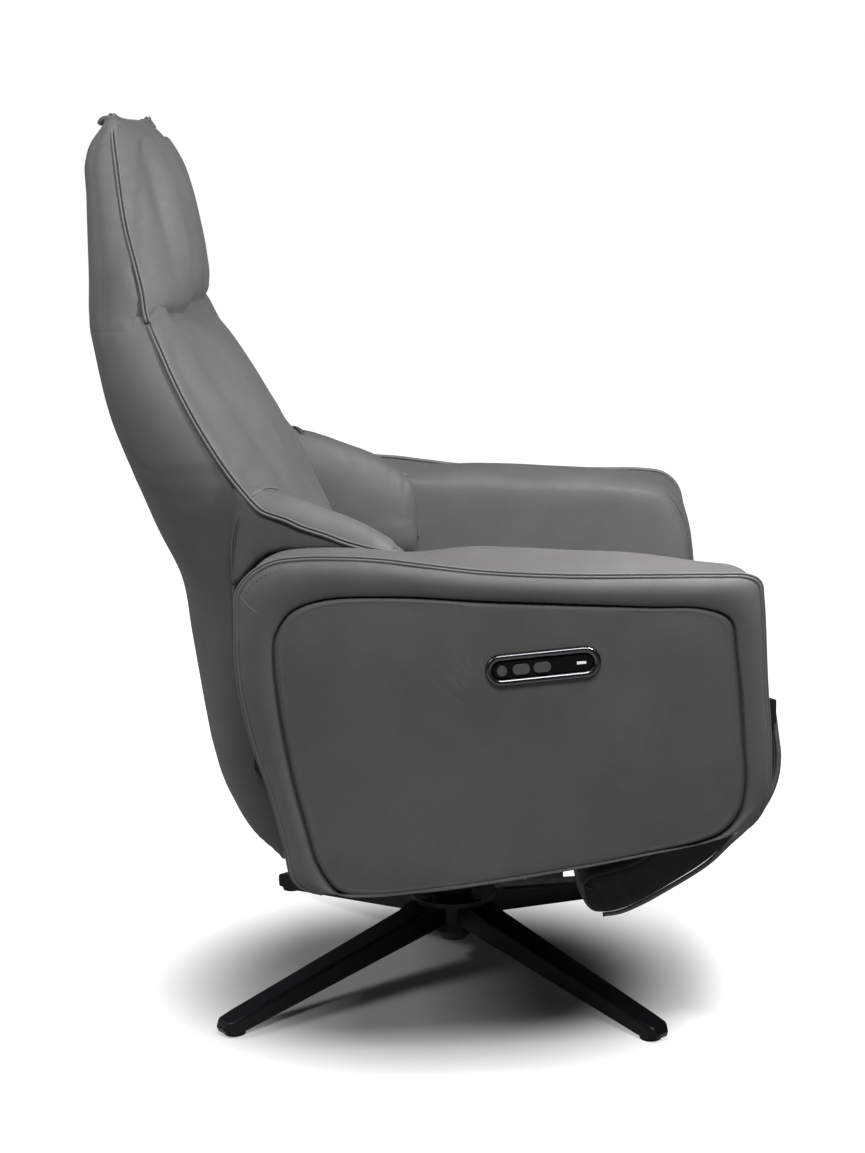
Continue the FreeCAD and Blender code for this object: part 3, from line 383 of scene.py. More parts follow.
def bump(value, centre, width):
    """A smooth hump, 1 at the centre and nearly 0 a width away."""
    return np.exp(-((np.asarray(value, float) - centre) / width) ** 2)


def wobble(point, scale, seed=0.0):
    """Gentle unevenness, -1 to 1, from a fixed noise field; the point is in millimetres."""
    return noise.noise(Vector((point[0] / scale + seed, point[1] / scale, point[2] / scale)))


def push(thing, rule):
    """Move every vertex of a mesh along its normal by rule(point), in millimetres."""
    thing.data.update()
    normals = [v.normal.copy() for v in thing.data.vertices]
    for vertex, normal in zip(thing.data.vertices, normals):
        vertex.co += normal * (rule(vertex.co / MM) * MM)
    thing.data.update()


SOFT = []
CLOTH_FRAMES = 20
PRESSURE = 4.0
EVEN_SHARE = 0.55    # how much of the mean swelling is taken off again


def soften(thing, cap, pinned, rule):
    """Queue a padded skin for the cloth run.

    cap says how far a vertex may move, pinned which ones may not, and rule how the folds go in after.
    """
    SOFT.append((thing, cap, pinned, rule))


def settle_all():
    """Inflate every queued skin in one cloth run, then press its folds in.

    Part of the mean swelling is taken out again, and the rest is capped.
    """
    scene = bpy.context.scene
    for thing, cap, pinned, rule in SOFT:
        points = [v.co / MM for v in thing.data.vertices]
        group = thing.vertex_groups.new(name="sewn")
        group.add([i for i, p in enumerate(points) if pinned(i, p)], 1.0, "REPLACE")
        cloth = thing.modifiers.new("stuffing", "CLOTH")
        cloth.settings.quality = 4
        cloth.settings.mass = 0.25
        cloth.settings.tension_stiffness = 12
        cloth.settings.compression_stiffness = 12
        cloth.settings.bending_stiffness = 1.5
        cloth.settings.use_pressure = True
        cloth.settings.uniform_pressure_force = PRESSURE
        cloth.settings.vertex_group_mass = "sewn"
        cloth.settings.effector_weights.gravity = 0.0
        cloth.collision_settings.use_collision = False
        cloth.point_cache.frame_start = 1
        cloth.point_cache.frame_end = CLOTH_FRAMES
    for frame_number in range(1, CLOTH_FRAMES + 1):
        scene.frame_set(frame_number)
    graph = bpy.context.evaluated_depsgraph_get()
    moved = []
    for thing, cap, pinned, rule in SOFT:
        mesh = thing.evaluated_get(graph).data
        moved.append(np.array([v.co[:] for v in mesh.vertices]) / MM)
    for (thing, cap, pinned, rule), spots in zip(SOFT, moved):
        thing.modifiers.remove(thing.modifiers["stuffing"])
        thing.vertex_groups.remove(thing.vertex_groups["sewn"])
        before = np.array([v.co[:] for v in thing.data.vertices]) / MM
        outward = np.array([v.normal[:] for v in thing.data.vertices])
        shift = np.nan_to_num(spots - before)
        free = np.array([not pinned(i, p) for i, p in enumerate(before)])
        swell = (shift * outward).sum(1)[free].mean() if free.any() else 0.0
        shift -= outward * (EVEN_SHARE * swell * free)[:, None]
        limit = np.array([cap(i, p) for i, p in enumerate(before)]) * free
        size = np.linalg.norm(shift, axis=1) + 1e-9
        shift *= np.minimum(1.0, limit / size)[:, None]
        for vertex, spot in zip(thing.data.vertices, (before + shift) * MM):
            vertex.co = spot
    scene.frame_set(1)
    for thing, cap, pinned, rule in SOFT:
        if rule is not None:
            push(thing, rule)


def upholster(thing, nodes, body):
    """Hide the parts a padded piece stands for, and say what it moves with."""
    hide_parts(*nodes)
    if body is not None:
        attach(thing, body)
    return thing


# ---------------------------------------------------------------- arms

# y and z of the outlines, in millimetres
ARM_CENTRE = (-60.0, 420.0)
BUTTONS = (-103, 490)
SEAM_X = 379.6       # how far out the piped seam lies
INNER_X = 274.0      # where the arm turns down to its inner face
SEAM = ((229, 479), (229, 548), (226, 577), (214, 593), (200, 603), (186, 608.5), (159, 611.5),
        (115, 611), (72, 608), (30, 602), (-36, 593), (-123, 587), (-220, 585), (-294, 584),
        (-326, 582.5), (-338, 576), (-341, 558), (-346, 467), (-351, 387), (-348, 330), (-331, 302),
        (-300, 287), (-209, 271), (-53, 246), (37, 236), (93, 231), (150, 232), (175, 245),
        (185, 290), (199, 350), (217, 410))
PANEL = ((192, 505), (189, 528), (172, 554), (138, 567), (51, 569), (-35, 563), (-122, 558), (-220, 553),
         (-280, 550), (-308, 537), (-316, 495), (-324, 402), (-327, 348), (-320, 316), (-300, 293),
         (-209, 269), (-53, 242), (37, 231), (93, 227), (128, 232), (150, 262), (163, 310), (177, 372),
         (188, 445))
AROUND = np.linspace(0, 2 * math.pi, 320, endpoint=False)
WELT_START = math.radians(43)
WELT_SPAN = math.radians(248)
# the left arm's front top corner is a little rounder
SOFT_CORNER = {(-294, 584): (-284, 583), (-326, 582.5): (-314, 577), (-338, 576): (-332, 560),
               (-341, 558): (-340, 532)}


def reach(outline):
    """How far an outline lies from the arm's centre, all the way round."""
    line = dense(outline, closed=True) - np.array(ARM_CENTRE)
    angle = np.arctan2(line[:, 1], line[:, 0]) % (2 * math.pi)
    order = np.argsort(angle)
    angle = angle[order]
    distance = np.hypot(line[:, 0], line[:, 1])[order]
    return np.interp(AROUND, angle, distance, period=2 * math.pi)


def arm_ring(distance, x):
    """A ring of points at a distance from the arm's centre, x from the middle of the chair."""
    y = ARM_CENTRE[0] + distance * np.cos(AROUND)
    z = ARM_CENTRE[1] + distance * np.sin(AROUND)
    return np.stack([np.broadcast_to(x, y.shape), y, z], 1)


def make_arm(name, sign):
    outline = [SOFT_CORNER.get(p, p) if sign > 0 else p for p in SEAM]
    seam, panel = reach(outline), reach(PANEL)
    unit = np.stack([np.cos(AROUND), np.sin(AROUND)], 1)
    top = np.clip((unit[:, 1] - 0.35) / 0.3, 0, 1)
    front = np.clip((-unit[:, 0] - 0.72) / 0.2, 0, 1)
    along = np.clip((70.0 - (ARM_CENTRE[0] + seam * unit[:, 0])) / 120.0, 0, 1)
    nose = np.clip((ARM_CENTRE[0] + seam * unit[:, 0] + 330.0) / 140.0, -0.2, 1)
    crown = top * (-6.0 + 21.0 * along ** 2 * (3 - 2 * along)) * nose + (1 - top) * front * 3.0
    corner = bump(AROUND, math.radians(151), math.radians(9))
    width = seam - panel
    strip = np.clip(width / 12.0, 0, 1)
    layers = (
        (panel - 4, 377.0), (panel + 0.8, 379.0), (panel + 1.2, 384.0 + 1.5 * strip),
        (panel + 0.14 * width + 1, 386.0 + 3.0 * strip), (panel + 0.4 * width + 0.6, 386.0 + 4.8 * strip),
        (panel + 0.7 * width, 385.0 + 4.2 * strip), (panel + 0.9 * width, 383.5 + 1.5 * strip),
        (seam - 0.6, 381.0), (seam - 0.6, 378.5), (seam + 0.30 * crown, 372.0), (seam + 0.62 * crown, 355.0),
        (seam + 0.88 * crown - 2 * corner, 330.0), (seam + crown - 5 * corner, 302.0),
        (seam + 0.92 * crown - 1 - 8 * corner, 285.0), (seam + 0.7 * crown - 5 - 10 * corner, 274.0),
        (seam + 0.3 * crown - 11 - 12 * corner, 266.5), (seam - 24 - 12 * corner, 263.2),
        (seam - 60, 262.9), (seam * 0.45, 262.9))
    rings = []
    fine = dense([np.concatenate([r, np.broadcast_to(x, r.shape)]) for r, x in layers], steps=3)
    half = len(AROUND)
    for row in fine:
        ring = arm_ring(row[:half], row[half:])
        ring[:, 0] *= sign
        rings.append(ring)
    arm = skin("arm_" + name, rings, LEATHER)

    def unevenness(p):
        y, z = p.y, p.z
        low_front = bump(y, -335, 40) * bump(z, 305, 30)
        low_rear = bump(y, 172, 22) * bump(z, 245, 22)
        pleat = math.sin((y + z) / 2.6) * 1.0 * (low_front + low_rear) * (abs(p.x) > 372)
        return (0.7 * wobble(p, 60, 3.0) + pleat) * (abs(p.x) > 266)
    soften(arm, lambda i, p: 2.5, lambda i, p: abs(p[0]) > 377 or abs(p[0]) < 268, unevenness)
    upholster(arm, ["arm_pad_" + name], "chassis")

    inner = panel - 1.7
    rounds = ((0.02, 387.8), (0.3, 387.9), (0.6, 387.9), (0.85, 387.8), (0.94, 387.5), (0.972, 386.9),
              (0.988, 385.6), (0.997, 383.6), (1.0, 380.5), (1.0, 377.5))
    rings = []
    for share, x in dense(rounds, steps=3):
        ring = arm_ring(inner * share, x)
        ring[:, 0] *= sign
        rings.append(ring)
    board = skin("arm_side_panel_" + name + "_cover", rings, LEATHER)

    def ripple(p):
        quiet = 1 - bump(p.y, BUTTONS[0], 90) * bump(p.z, BUTTONS[1], 35)
        return -0.35 * abs(wobble(p, 90, 8.0)) * quiet
    soften(board, lambda i, p: 0.8, lambda i, p: abs(p[0]) < 387.0 or abs(p[1] - BUTTONS[0]) < 85, ripple)
    upholster(board, ["arm_side_panel_" + name], "chassis")

    # the piped seam round the top, front and rear of the outer face
    line = even(outline, 420, closed=True)
    angle = np.arctan2(line[:, 1] - ARM_CENTRE[1], line[:, 0] - ARM_CENTRE[0])
    angle = (angle + WELT_START) % (2 * math.pi)
    order = np.argsort(angle)
    line = line[order]
    line = line[angle[order] < WELT_SPAN]
    flat = np.stack([np.full(len(line), sign * SEAM_X), line[:, 0], line[:, 1]], 1)
    tangent = np.gradient(flat, axis=0)
    out = np.cross(tangent, (sign * 1.0, 0, 0))
    out /= np.linalg.norm(out, axis=1)[:, None]
    away = flat - np.array([sign * SEAM_X, *ARM_CENTRE])
    out[(out * away).sum(1) < 0] *= -1
    lean = out + np.array([sign * 0.75, 0, 0])
    lean /= np.linalg.norm(lean, axis=1)[:, None]
    path = flat + out * 1.0
    piping = sweep("arm_welt_" + name, path, lean, WELT, PIPING, groove=WELT_GROOVE)
    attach(piping, "chassis")
    upper = (line[:, 1] > 500) & (line[:, 0] > -300)
    row = flat[upper] - out[upper] * 7.5 + np.array([sign * 6.2, 0, 0])
    ups = np.tile([sign * 1.0, 0, 0], (len(row), 1)) + 0.3 * out[upper]
    stitches("arm_stitches_" + name, row, ups, "chassis")
    mitre = ((381.5, 226, 575), (387.5, 218, 565), (390.0, 208, 557), (389.0, 195, 551.5), (385.5, 184, 550))
    ridge("arm_mitre_" + name, [(sign * x, y, z) for x, y, z in mitre], [(sign * 1.0, 0, 0)] * 5, "chassis",
          circle(0.9, 6), PIPING, 3.0)
    edge = arm_ring(seam + 0.7 * crown - 5 - 10 * corner, sign * INNER_X)
    edge = edge[(edge[:, 1] < -300) & (edge[:, 2] > 430)]
    away = edge - np.array([sign * INNER_X, *ARM_CENTRE])
    outs = away / np.linalg.norm(away, axis=1)[:, None] * 0.6 + np.array([-sign * 0.8, 0, 0])
    ridge("arm_inner_seam_" + name, edge[::3], outs[::3], "chassis", circle(0.9, 6), LEATHER)
    row = edge - 0.016 * away + np.array([-sign * 3.6, 0, 0])
    stitches("arm_inner_stitches_" + name, row, outs, "chassis")
    return arm


for side_name, side_sign in SIDES:
    make_arm(side_name, side_sign)


def make_bezel():
    """The chromed ring round the buttons, rounded like a bead."""
    half, radius = 45.5, 18.0
    spots = []
    for centre, start in ((half, -90), (-half, 90)):
        for k in range(25):
            a = math.radians(start + 7.5 * k)
            spots.append((math.cos(a), math.sin(a), centre))
    tilt = math.radians(-4.9)
    section = ((0.0, 386.5), (0.0, 389.5), (0.8, 391.6), (2.6, 392.9), (4.6, 392.9), (6.6, 391.8),
               (7.9, 390.2), (9.0, 388.8), (9.0, 386.5))
    rings = []
    for c, s, centre in spots:
        ring = []
        for inset, x in section:
            v = centre + (radius - inset) * c
            w = (radius - inset) * s
            ring.append((-x, BUTTONS[0] + v * math.cos(tilt) - w * math.sin(tilt),
                         BUTTONS[1] + v * math.sin(tilt) + w * math.cos(tilt)))
        rings.append(ring)
    rings.append(rings[0])
    ring = skin("control_bezel_ring", rings, DARK_CHROME, ends=False)
    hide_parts("control_bezel")
    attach(ring, "chassis")


make_bezel()


# ---------------------------------------------------------------- back and headrest

# height, front y, seam y, half width at the seam, rear corner's y, half width of the side
BODY = ((219, 214, 196, 222, 205, 232), (232, 214, 190, 236, 217, 243), (248, 214, 187, 242, 235, 249),
        (296, 216, 186, 247, 263, 252), (350, 216, 186, 248, 278, 252), (400, 190, 178, 248, 286, 252),
        (440, 136, 168, 249, 291, 252), (490, 131, 175, 250, 297, 253), (560, 145, 195, 253, 307, 258),
        (620, 167, 212, 262, 332, 266), (660, 185, 224, 270, 346, 274), (700, 207, 250, 271, 361, 277),
        (745, 233, 277, 266, 378, 273), (800, 267, 305, 253, 393, 262), (836, 285, 321, 240.5, 400, 249.5),
        (850, 292, 328, 234.2, 402.3, 243.2), (858, 299, 331, 230, 402.1, 238.9),
        (866, 309, 334, 225, 401.5, 234.6))
HEAD = ((836, 330, 321.5, 237.5, 397, 246.5), (843, 326, 325, 236.2, 400.2, 245.1),
        (850, 318, 328, 234.3, 402.5, 243.3), (856, 309, 331, 231.8, 403, 240.8),
        (864, 302, 334, 228, 403.4, 237.4), (885, 296, 337, 221, 403.5, 230),
        (921, 297, 345, 212, 403.5, 221), (964, 304, 356, 199, 404, 208),
        (1000, 312, 362, 187, 405, 197), (1039, 325, 367, 174, 406, 183),
        (1062, 339, 370, 166, 397, 173), (1076, 353, 371, 161, 382, 165),
        (1084, 366, 372, 158, 376, 159))
FRONT_POINTS = 26
REAR_POINTS = 30
RING_POINTS = 2 * (FRONT_POINTS + REAR_POINTS - 2)


def half_ring(row):
    """Half a level section, from the front's middle round the side seam to the rear's middle."""
    z, front, seam, half, rear, wide = row
    bow = seam - front
    near = ((0, front), (0.30 * half, front + 0.01 * bow), (0.62 * half, front + 0.12 * bow),
            (0.86 * half, front + 0.46 * bow), (half, seam))
    deep = rear - seam
    far = ((half, seam), (half + 0.75 * (wide - half), seam + 0.18 * deep), (wide, seam + 0.45 * deep),
           (wide - 0.03 * half, seam + 0.78 * deep), (0.84 * half, rear + 1), (0.45 * half, rear + 9),
           (0, rear + 13))
    line = np.vstack([even(near, FRONT_POINTS)[:-1], even(far, REAR_POINTS)])
    return np.column_stack([line, np.full(len(line), z)])


def full_ring(row):
    """A whole section; near the headrest's lower seam its front dips and rises as that seam does."""
    half = half_ring(row)
    line = 0.62 * bump(half[:, 0], 0.86 * row[3], 26) - 0.5 * bump(half[:, 0], 0.5 * row[3], 40)
    half[:, 2] += 15.0 * line * (half[:, 1] < row[2]) * bump(row[0], 858, 22)
    mirror = half[1:-1][::-1] * np.array([-1, 1, 1])
    return np.vstack([half, mirror])


def ring_place(index):
    """How many points a vertex of a full ring is from the middle of the front."""
    return min(index % RING_POINTS, RING_POINTS - index % RING_POINTS)


def skin_cap(index, point):
    """Front points may move 7 mm in the cloth run, those of the tight rear cover 0.3 mm."""
    return 7.0 if ring_place(index) < FRONT_POINTS - 1 else 0.3


def skin_pins(rows):
    """The side seams and two rings at each end stay where they are sewn."""
    def pinned(index, point):
        row = index // RING_POINTS
        return abs(ring_place(index) - (FRONT_POINTS - 1)) < 2 or row < 2 or row > rows - 3
    return pinned


def make_back():
    levels = np.concatenate([np.linspace(219, 260, 14, endpoint=False),
                             np.linspace(260, 840, 78, endpoint=False), np.linspace(840, 866, 10)])
    rings = [full_ring(row) for row in rows_at(BODY, levels)]
    back = skin("back_upholstery", rings, LEATHER)

    def shape(p):
        x, y, z = abs(p.x), p.y, p.z
        lumbar = 5.0 * bump(z, 560, 70) * bump(x, 0, 150) * (y < 230)
        tuck = -4.5 * bump(z, 858, 12) * (y < 300)
        pleats = 2.0 * bump(z, 690, 26) * bump(x, 250, 22) * math.sin(z / 4.6 + x / 9)
        lean = (z - 700) * 0.16
        broad = 5.5 * bump(x, 190 + lean, 24) - 6.5 * bump(x, 140 + lean, 20) + 4.0 * bump(x, 84 + lean, 30)
        broad *= bump(z, 770, 130) * (y < 330)
        calm = 1 - bump(z, 852, 26)
        return lumbar + tuck + pleats + broad + 1.5 * calm * wobble(p, 110, 1.0)
    soften(back, skin_cap, skin_pins(len(rings)), shape)
    upholster(back, ["back_cushion", "back_shell"], "backrest")
    return back


def make_head():
    levels = np.concatenate([np.linspace(836, 880, 18, endpoint=False),
                             np.linspace(880, 1060, 44, endpoint=False), np.linspace(1060, 1084, 12)])
    rings = [full_ring(row) for row in rows_at(HEAD, levels)]
    head = skin("headrest_upholstery", rings, LEATHER)

    def shape(p):
        x, y, z = p.x, p.y, p.z
        front = y < 345
        folds = 0.0
        for place, width, depth in ((-128, 13, -6.5), (-88, 22, 6.0), (-34, 20, -5.0), (14, 22, 3.5),
                                    (66, 20, -5.0), (112, 22, 5.5), (142, 12, -4.0)):
            drift = place * (1 + 0.14 * (1000 - z) / 100)
            folds += depth * bump(x, drift, width) * bump(z, 1000, 105)
        low = -4.0 * bump(z, 860, 9) * front
        ears = 5.0 * bump(abs(x), 158, 14) * bump(z, 1085, 16)
        folds = 1.35 * folds - 4.0 * bump(z, 970, 90)
        calm = 1 - bump(z, 852, 26)
        return folds * front + low + ears + 1.2 * calm * wobble(p, 90, 2.0)
    soften(head, skin_cap, skin_pins(len(rings)), shape)
    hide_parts("headrest_cushion", "headrest_shell")
    return head


make_back()
HEAD_SKIN = make_head()


def make_side_seams():
    """Piping up both sides of the back and headrest, over the ears, and the seam on the back's side."""
    for name, sign in SIDES:
        rows = rows_at(BODY, np.linspace(692, 856, 12))
        keys = [(sign * (r[3] + 2), r[2], r[0]) for r in rows][::-1]
        outs = [(sign * 0.86, -0.5, 0.05)] * len(keys)
        wing = ((232, 676, 277), (219, 662, 286), (206, 650, 290), (180, 640, 291), (164, 632, 291),
                (136, 622, 291), (114, 613, 291), (91, 606, 291), (75, 602, 290), (61, 599, 287),
                (53, 597, 280))
        keys += [(sign * x, y, z) for y, z, x in wing]
        outs += [(sign * 0.8, 0.0, 0.6)] * len(wing)
        ridge("back_welt_" + name, keys, outs, "backrest")
        fall = ((219, 661, 284), (228, 649, 280), (236, 634, 276), (241, 614, 272), (243, 595, 269),
                (242, 560, 265))
        ridge("back_side_seam_" + name, [(sign * x, y, z) for y, z, x in fall],
              [(sign * 1.0, 0.0, 0.0)] * len(fall), "backrest", WELT_SMALL)
        over = ((221, 665, 283), (212, 670, 272), (203, 672, 258), (192, 668, 242))
        ridge("wing_top_seam_" + name, [(sign * x, y, z) for y, z, x in over],
              [(sign * 0.3, -0.2, 0.9)] * len(over), "backrest", WELT_SMALL)
    rows = rows_at(HEAD, np.linspace(858, 1078, 16))
    right = [(-(r[3] + 2), r[2], r[0]) for r in rows]
    right += [(-158.5, 373, 1086), (-153, 373, 1089.5), (-143, 372.5, 1089), (-126, 372, 1086.5)]
    left = [(-x, y, z) for x, y, z in right[::-1]]
    keys = right + [(-60, 371, 1084), (0, 371, 1084), (60, 371, 1084)] + left
    outs = [(-0.9, -0.4, 0.1)] * len(rows) + [(-0.8, 0, 0.5), (-0.4, 0, 0.9), (-0.1, 0, 1), (0, 0, 1)]
    outs += [(0, 0, 1)] * 3 + [(-x, y, z) for x, y, z in outs[::-1]]
    ears = []
    for name, sign in SIDES:
        tuck = ((154, 366, 1077), (156, 371, 1083), (156, 378, 1085.5), (154, 384, 1084), (152, 387, 1080))
        ears.append(ridge("headrest_ear_" + name, [(sign * x, y, z) for x, y, z in tuck],
                          [(sign * 0.5, 0, 1)] * 5, None, circle(3.6, 12), LEATHER, 1.5))
    return [ridge("headrest_welt", keys, outs, None)] + ears


HEAD_WELT = make_side_seams()

# y, the wing's outer side, the height of its piped seam, and of its crest
WING = ((40, 261.6, 532, 540), (41.5, 262, 560, 568), (44, 263.5, 578, 586), (48, 265, 590, 596),
        (53, 273, 596, 602), (60, 283, 598, 608), (69, 288, 600, 616), (86, 290, 604, 626),
        (109, 290, 611, 637), (137, 290, 622, 648), (164, 290, 632, 659), (182, 290, 640, 665),
        (206, 289, 650, 671), (222, 284, 663, 677), (234, 276, 674, 681), (246, 262, 676, 680))


def make_wing(name, sign):
    """The side cushion: a lip over the arm and a lining down the inside of it."""
    rings = []
    places = np.concatenate([np.linspace(40, 60, 16), np.linspace(63, 246, 50)])
    for y, out, pipe, crest in rows_at(WING, places):
        low = np.interp(y, (40, 46, 60), (506, 496, 490))
        lip = min(pipe - 3.5, np.interp(y, (180, 200, 214, 226, 240), (604, 600, 592, 579, 562)))
        step = min(261.3, out - 1)
        inner = np.interp(y, (40, 42, 46, 53, 66, 90, 262), (255, 249, 243, 238, 234, 231, 227))
        wide, tall = out - inner, crest - low
        rise = crest - pipe
        loop = ((out - 0.5, lip + 1.5), (out + 1.5, 0.5 * (lip + pipe)), (out, pipe),
                (out - 0.12 * wide, pipe + 0.55 * rise), (out - 0.29 * wide, pipe + 0.92 * rise),
                (out - 0.47 * wide, crest), (out - 0.74 * wide, crest - 5),
                (inner + 0.03 * wide, crest - 0.25 * tall), (inner - 0.05 * wide, 0.5 * (crest + low)),
                (inner - 0.02 * wide, low + 0.15 * tall),
                (0.5 * (inner + step), low), (step - 3, low + 3), (step - 0.5, low + 14), (step - 0.5, 540),
                (step - 0.3, 0.5 * (540 + lip)), (step + 0.2 * (out - step), lip), (out - 5, lip))
        line = even([(x, min(z, crest)) for x, z in loop], 72, closed=True)
        rings.append(np.stack([sign * line[:, 0], np.full(72, y), line[:, 1]], 1))
    wing = skin("wing_cushion_" + name, rings, LEATHER)

    def shape(p):
        gather = 1.2 * bump(p.y, 60, 22) * bump(p.z, 600, 22) * math.sin(p.y / 3.1)
        crease = 1.3 * bump(p.y, 232, 26) * bump(p.z, 676, 24) * math.sin((p.y - p.z) / 4.4)
        return 1.0 * wobble(p, 70, 4.0) + gather + crease
    soften(wing, lambda i, p: 3.0, lambda i, p: p[1] < 44 or p[1] > 240 or p[2] < 540, shape)
    front = ((260.4, 39.0, 514), (260.4, 39.0, 532), (260.6, 40.3, 560), (260.8, 42.8, 578),
             (261.0, 46.8, 588))
    ridge("wing_front_seam_" + name, [(sign * x, y, z) for x, y, z in front], [(0, -1, 0)] * 5, "backrest",
          circle(1.3, 8), LEATHER, 3.0)
    return upholster(wing, ["wing_" + name], "backrest")


for side_name, side_sign in SIDES:
    make_wing(side_name, side_sign)


# ---------------------------------------------------------------- seat and footrest

def make_seat():
    """The seat cushion: crowned, with a welted edge and softened corners."""
    half, front, rear = 257.0, -380.0, 124.0
    seam_height, seam_inset = 461.0, 4.5
    sides = ((419.6, 22), (421.0, 10), (432, 2), (446, 0), (458, 2), (467, 9))
    middle = 0.5 * (front + rear)
    deep = 0.5 * (rear - front)

    def ring(z, inset, count=220):
        a = np.linspace(0, 2 * math.pi, count, endpoint=False)
        c, s = np.cos(a), np.sin(a)
        power = 2.0 / 7.0
        x = np.sign(c) * np.abs(c) ** power * (half - inset)
        y = middle + np.sign(s) * np.abs(s) ** power * (deep - inset)
        return np.stack([x, y, np.full(count, z)], 1)
    rings = [ring(420.5, 200), ring(419.8, 120), ring(419.6, 60)] + [ring(z, inset) for z, inset in sides]
    for inset in (18, 30, 46, 66, 90, 120, 155, 190, 225):
        lift = 467 + 13.0 * (1 - math.exp(-(inset - 9) / 45.0))
        rings.append(ring(lift, inset))
    seat = skin("seat_upholstery", rings, LEATHER)
    soften(seat, lambda i, p: 8.0, lambda i, p: p[2] < 464,
           lambda p: 1.6 * wobble(p, 120, 6.0) * (p.z > 462))
    upholster(seat, ["seat_cushion"], "chassis")
    top = ring(seam_height, seam_inset, 40)
    top = np.vstack([top, top[:1]])
    away = top - np.array([0, middle, seam_height])
    outs = away / np.linalg.norm(away, axis=1)[:, None] * 0.6 + np.array([0, 0, 0.5])
    ridge("seat_welt", top, outs, "chassis")
    return seat


PAD_HALF = 257.0     # half the footrest's width
# share of that width, and how far a ring there lies inside the outline
PAD_RINGS = ((1.0, 16), (1.0, 9), (0.995, 4.5), (0.985, 2), (0.965, 0.5), (0.94, 0.0), (0.9, -1.5),
             (0.84, -3), (0.76, -4), (0.66, -4.6), (0.54, -5), (0.42, -5), (0.3, -5), (0.22, -5),
             (0.17, -5), (0.155, -5), (0.145, -5), (0.13, -5), (0.1, -5), (0.05, -5), (0.0, -5))
# faces beyond PAD_SIDE get the painted-shade leather
PAD_SIDE = 0.2545    # metres from the middle beyond which a face belongs to its side
PAD_POINTS = 80      # points along its outside, and again along its inside


def close_ends(thing, rows, half):
    """Zip the halves of the first and the last ring together, and give the side faces painted shade: a much
    darker copy of the leather.
    """
    work = bmesh.new()
    work.from_mesh(thing.data)
    work.verts.ensure_lookup_table()
    for base in (0, (rows - 1) * 2 * half):
        for i in range(half - 1):
            corners = [base + i, base + i + 1, base + 2 * half - 2 - i, base + 2 * half - 1 - i]
            face = work.faces.new([work.verts[k] for k in corners])
            face.smooth = True
    bmesh.ops.recalc_face_normals(work, faces=work.faces)
    for face in work.faces:
        # painted shade: the side faces take the much darker leather copy
        face.material_index = int(abs(face.calc_center_median().x) > PAD_SIDE)
    work.to_mesh(thing.data)
    work.free()
    thing.data.materials.append(LEATHER_PAINTED_SHADE)


# y and z of the footrest's folded outline, along its outside and back along its inside
PAD_OUTSIDE = ((-350, 422), (-369, 415), (-376, 394), (-380, 366), (-382, 340), (-378, 310), (-366, 283),
               (-346, 258), (-327, 239), (-300, 213), (-248, 180), (-219, 164), (-197, 155), (-177, 152),
               (-164, 154), (-154, 166), (-150, 185))
PAD_INSIDE = ((-150, 190), (-160, 200), (-190, 209), (-215, 217), (-240, 234), (-262, 255), (-284, 277),
              (-304, 303), (-318, 330), (-326, 362), (-331, 390), (-336, 412))


def make_footrest():
    """The footrest's pad, folded under the seat's front, with a welt along both edges."""
    outline = np.vstack([even(PAD_OUTSIDE, PAD_POINTS), even(PAD_INSIDE, PAD_POINTS)])
    centre = outline.mean(0)
    tangent = np.roll(outline, -1, 0) - np.roll(outline, 1, 0)
    normal = np.stack([tangent[:, 1], -tangent[:, 0]], 1)
    normal /= np.linalg.norm(normal, axis=1)[:, None]
    if ((outline - centre) * normal).sum() < 0:
        normal = -normal
    outside = np.array([min(np.hypot(*(p - np.array(q))) for q in PAD_OUTSIDE) for p in outline])
    inside = np.array([min(np.hypot(*(p - np.array(q))) for q in PAD_INSIDE) for p in outline])
    puff = np.clip((inside - outside) / 20.0, 0, 1)
    rings = []
    for share, inset in PAD_RINGS:
        rings.append((share * PAD_HALF, inset))
    rings = [(-x, inset) for x, inset in rings] + [(x, inset) for x, inset in rings[-2::-1]]
    built = []
    for x, inset in rings:
        move = np.where(puff > 0, -inset * np.where(inset < 0, puff * 0.8, 1.0), -max(inset, 0.0))
        ring = outline + normal * move[:, None]
        if abs(x) < 38:
            outer = np.arange(len(ring)) < PAD_POINTS
            flap = outer & (ring[:, 1] > 385)
            ring[flap, 0] = np.minimum(ring[flap, 0], -375.5)
            recess = ~outer & (ring[:, 1] > 324)
            ring[recess, 0] = np.minimum(ring[recess, 0], -371)
        built.append(np.column_stack([np.full(len(ring), x), ring]))
    pad = skin("footrest_upholstery", built, LEATHER, ends=False)
    close_ends(pad, len(built), PAD_POINTS)

    def pinned(index, point):
        return index % (2 * PAD_POINTS) >= PAD_POINTS or abs(point[0]) > 252 or abs(point[0]) < 40
    soften(pad, lambda i, p: 3.5, pinned, lambda p: 0.8 * wobble(p, 80, 9.0) * (abs(p.x) > 42))
    upholster(pad, ["footrest_pad"], "footrest")
    for name, sign in SIDES:
        edge = ((-376, 398), (-380, 368), (-383, 340), (-379, 310), (-367, 283), (-347, 257), (-327, 238),
                (-300, 212), (-248, 179), (-219, 163), (-197, 154), (-177, 151))
        outs = []
        for y, z in edge:
            away = Vector((sign * 0.7, y + 250, z - 320))
            away.y, away.z = away.y / 160, away.z / 160
            outs.append(tuple(away.normalized()))
        ridge("footrest_welt_" + name, [(sign * 254.5, y, z) for y, z in edge], outs, "footrest")
    return pad


make_seat()
make_footrest()


# ---------------------------------------------------------------- camera, light and floor

CAMERA_SPOT = Vector((-2.6, 0.0, 1.05))
CAMERA_DOWN, CAMERA_TURN, CAMERA_ROLL = (math.radians(a) for a in (11.7, 0.4, -1.2))
FOCAL_PIXELS = 2090.0
PHOTO_HEIGHT = 1153


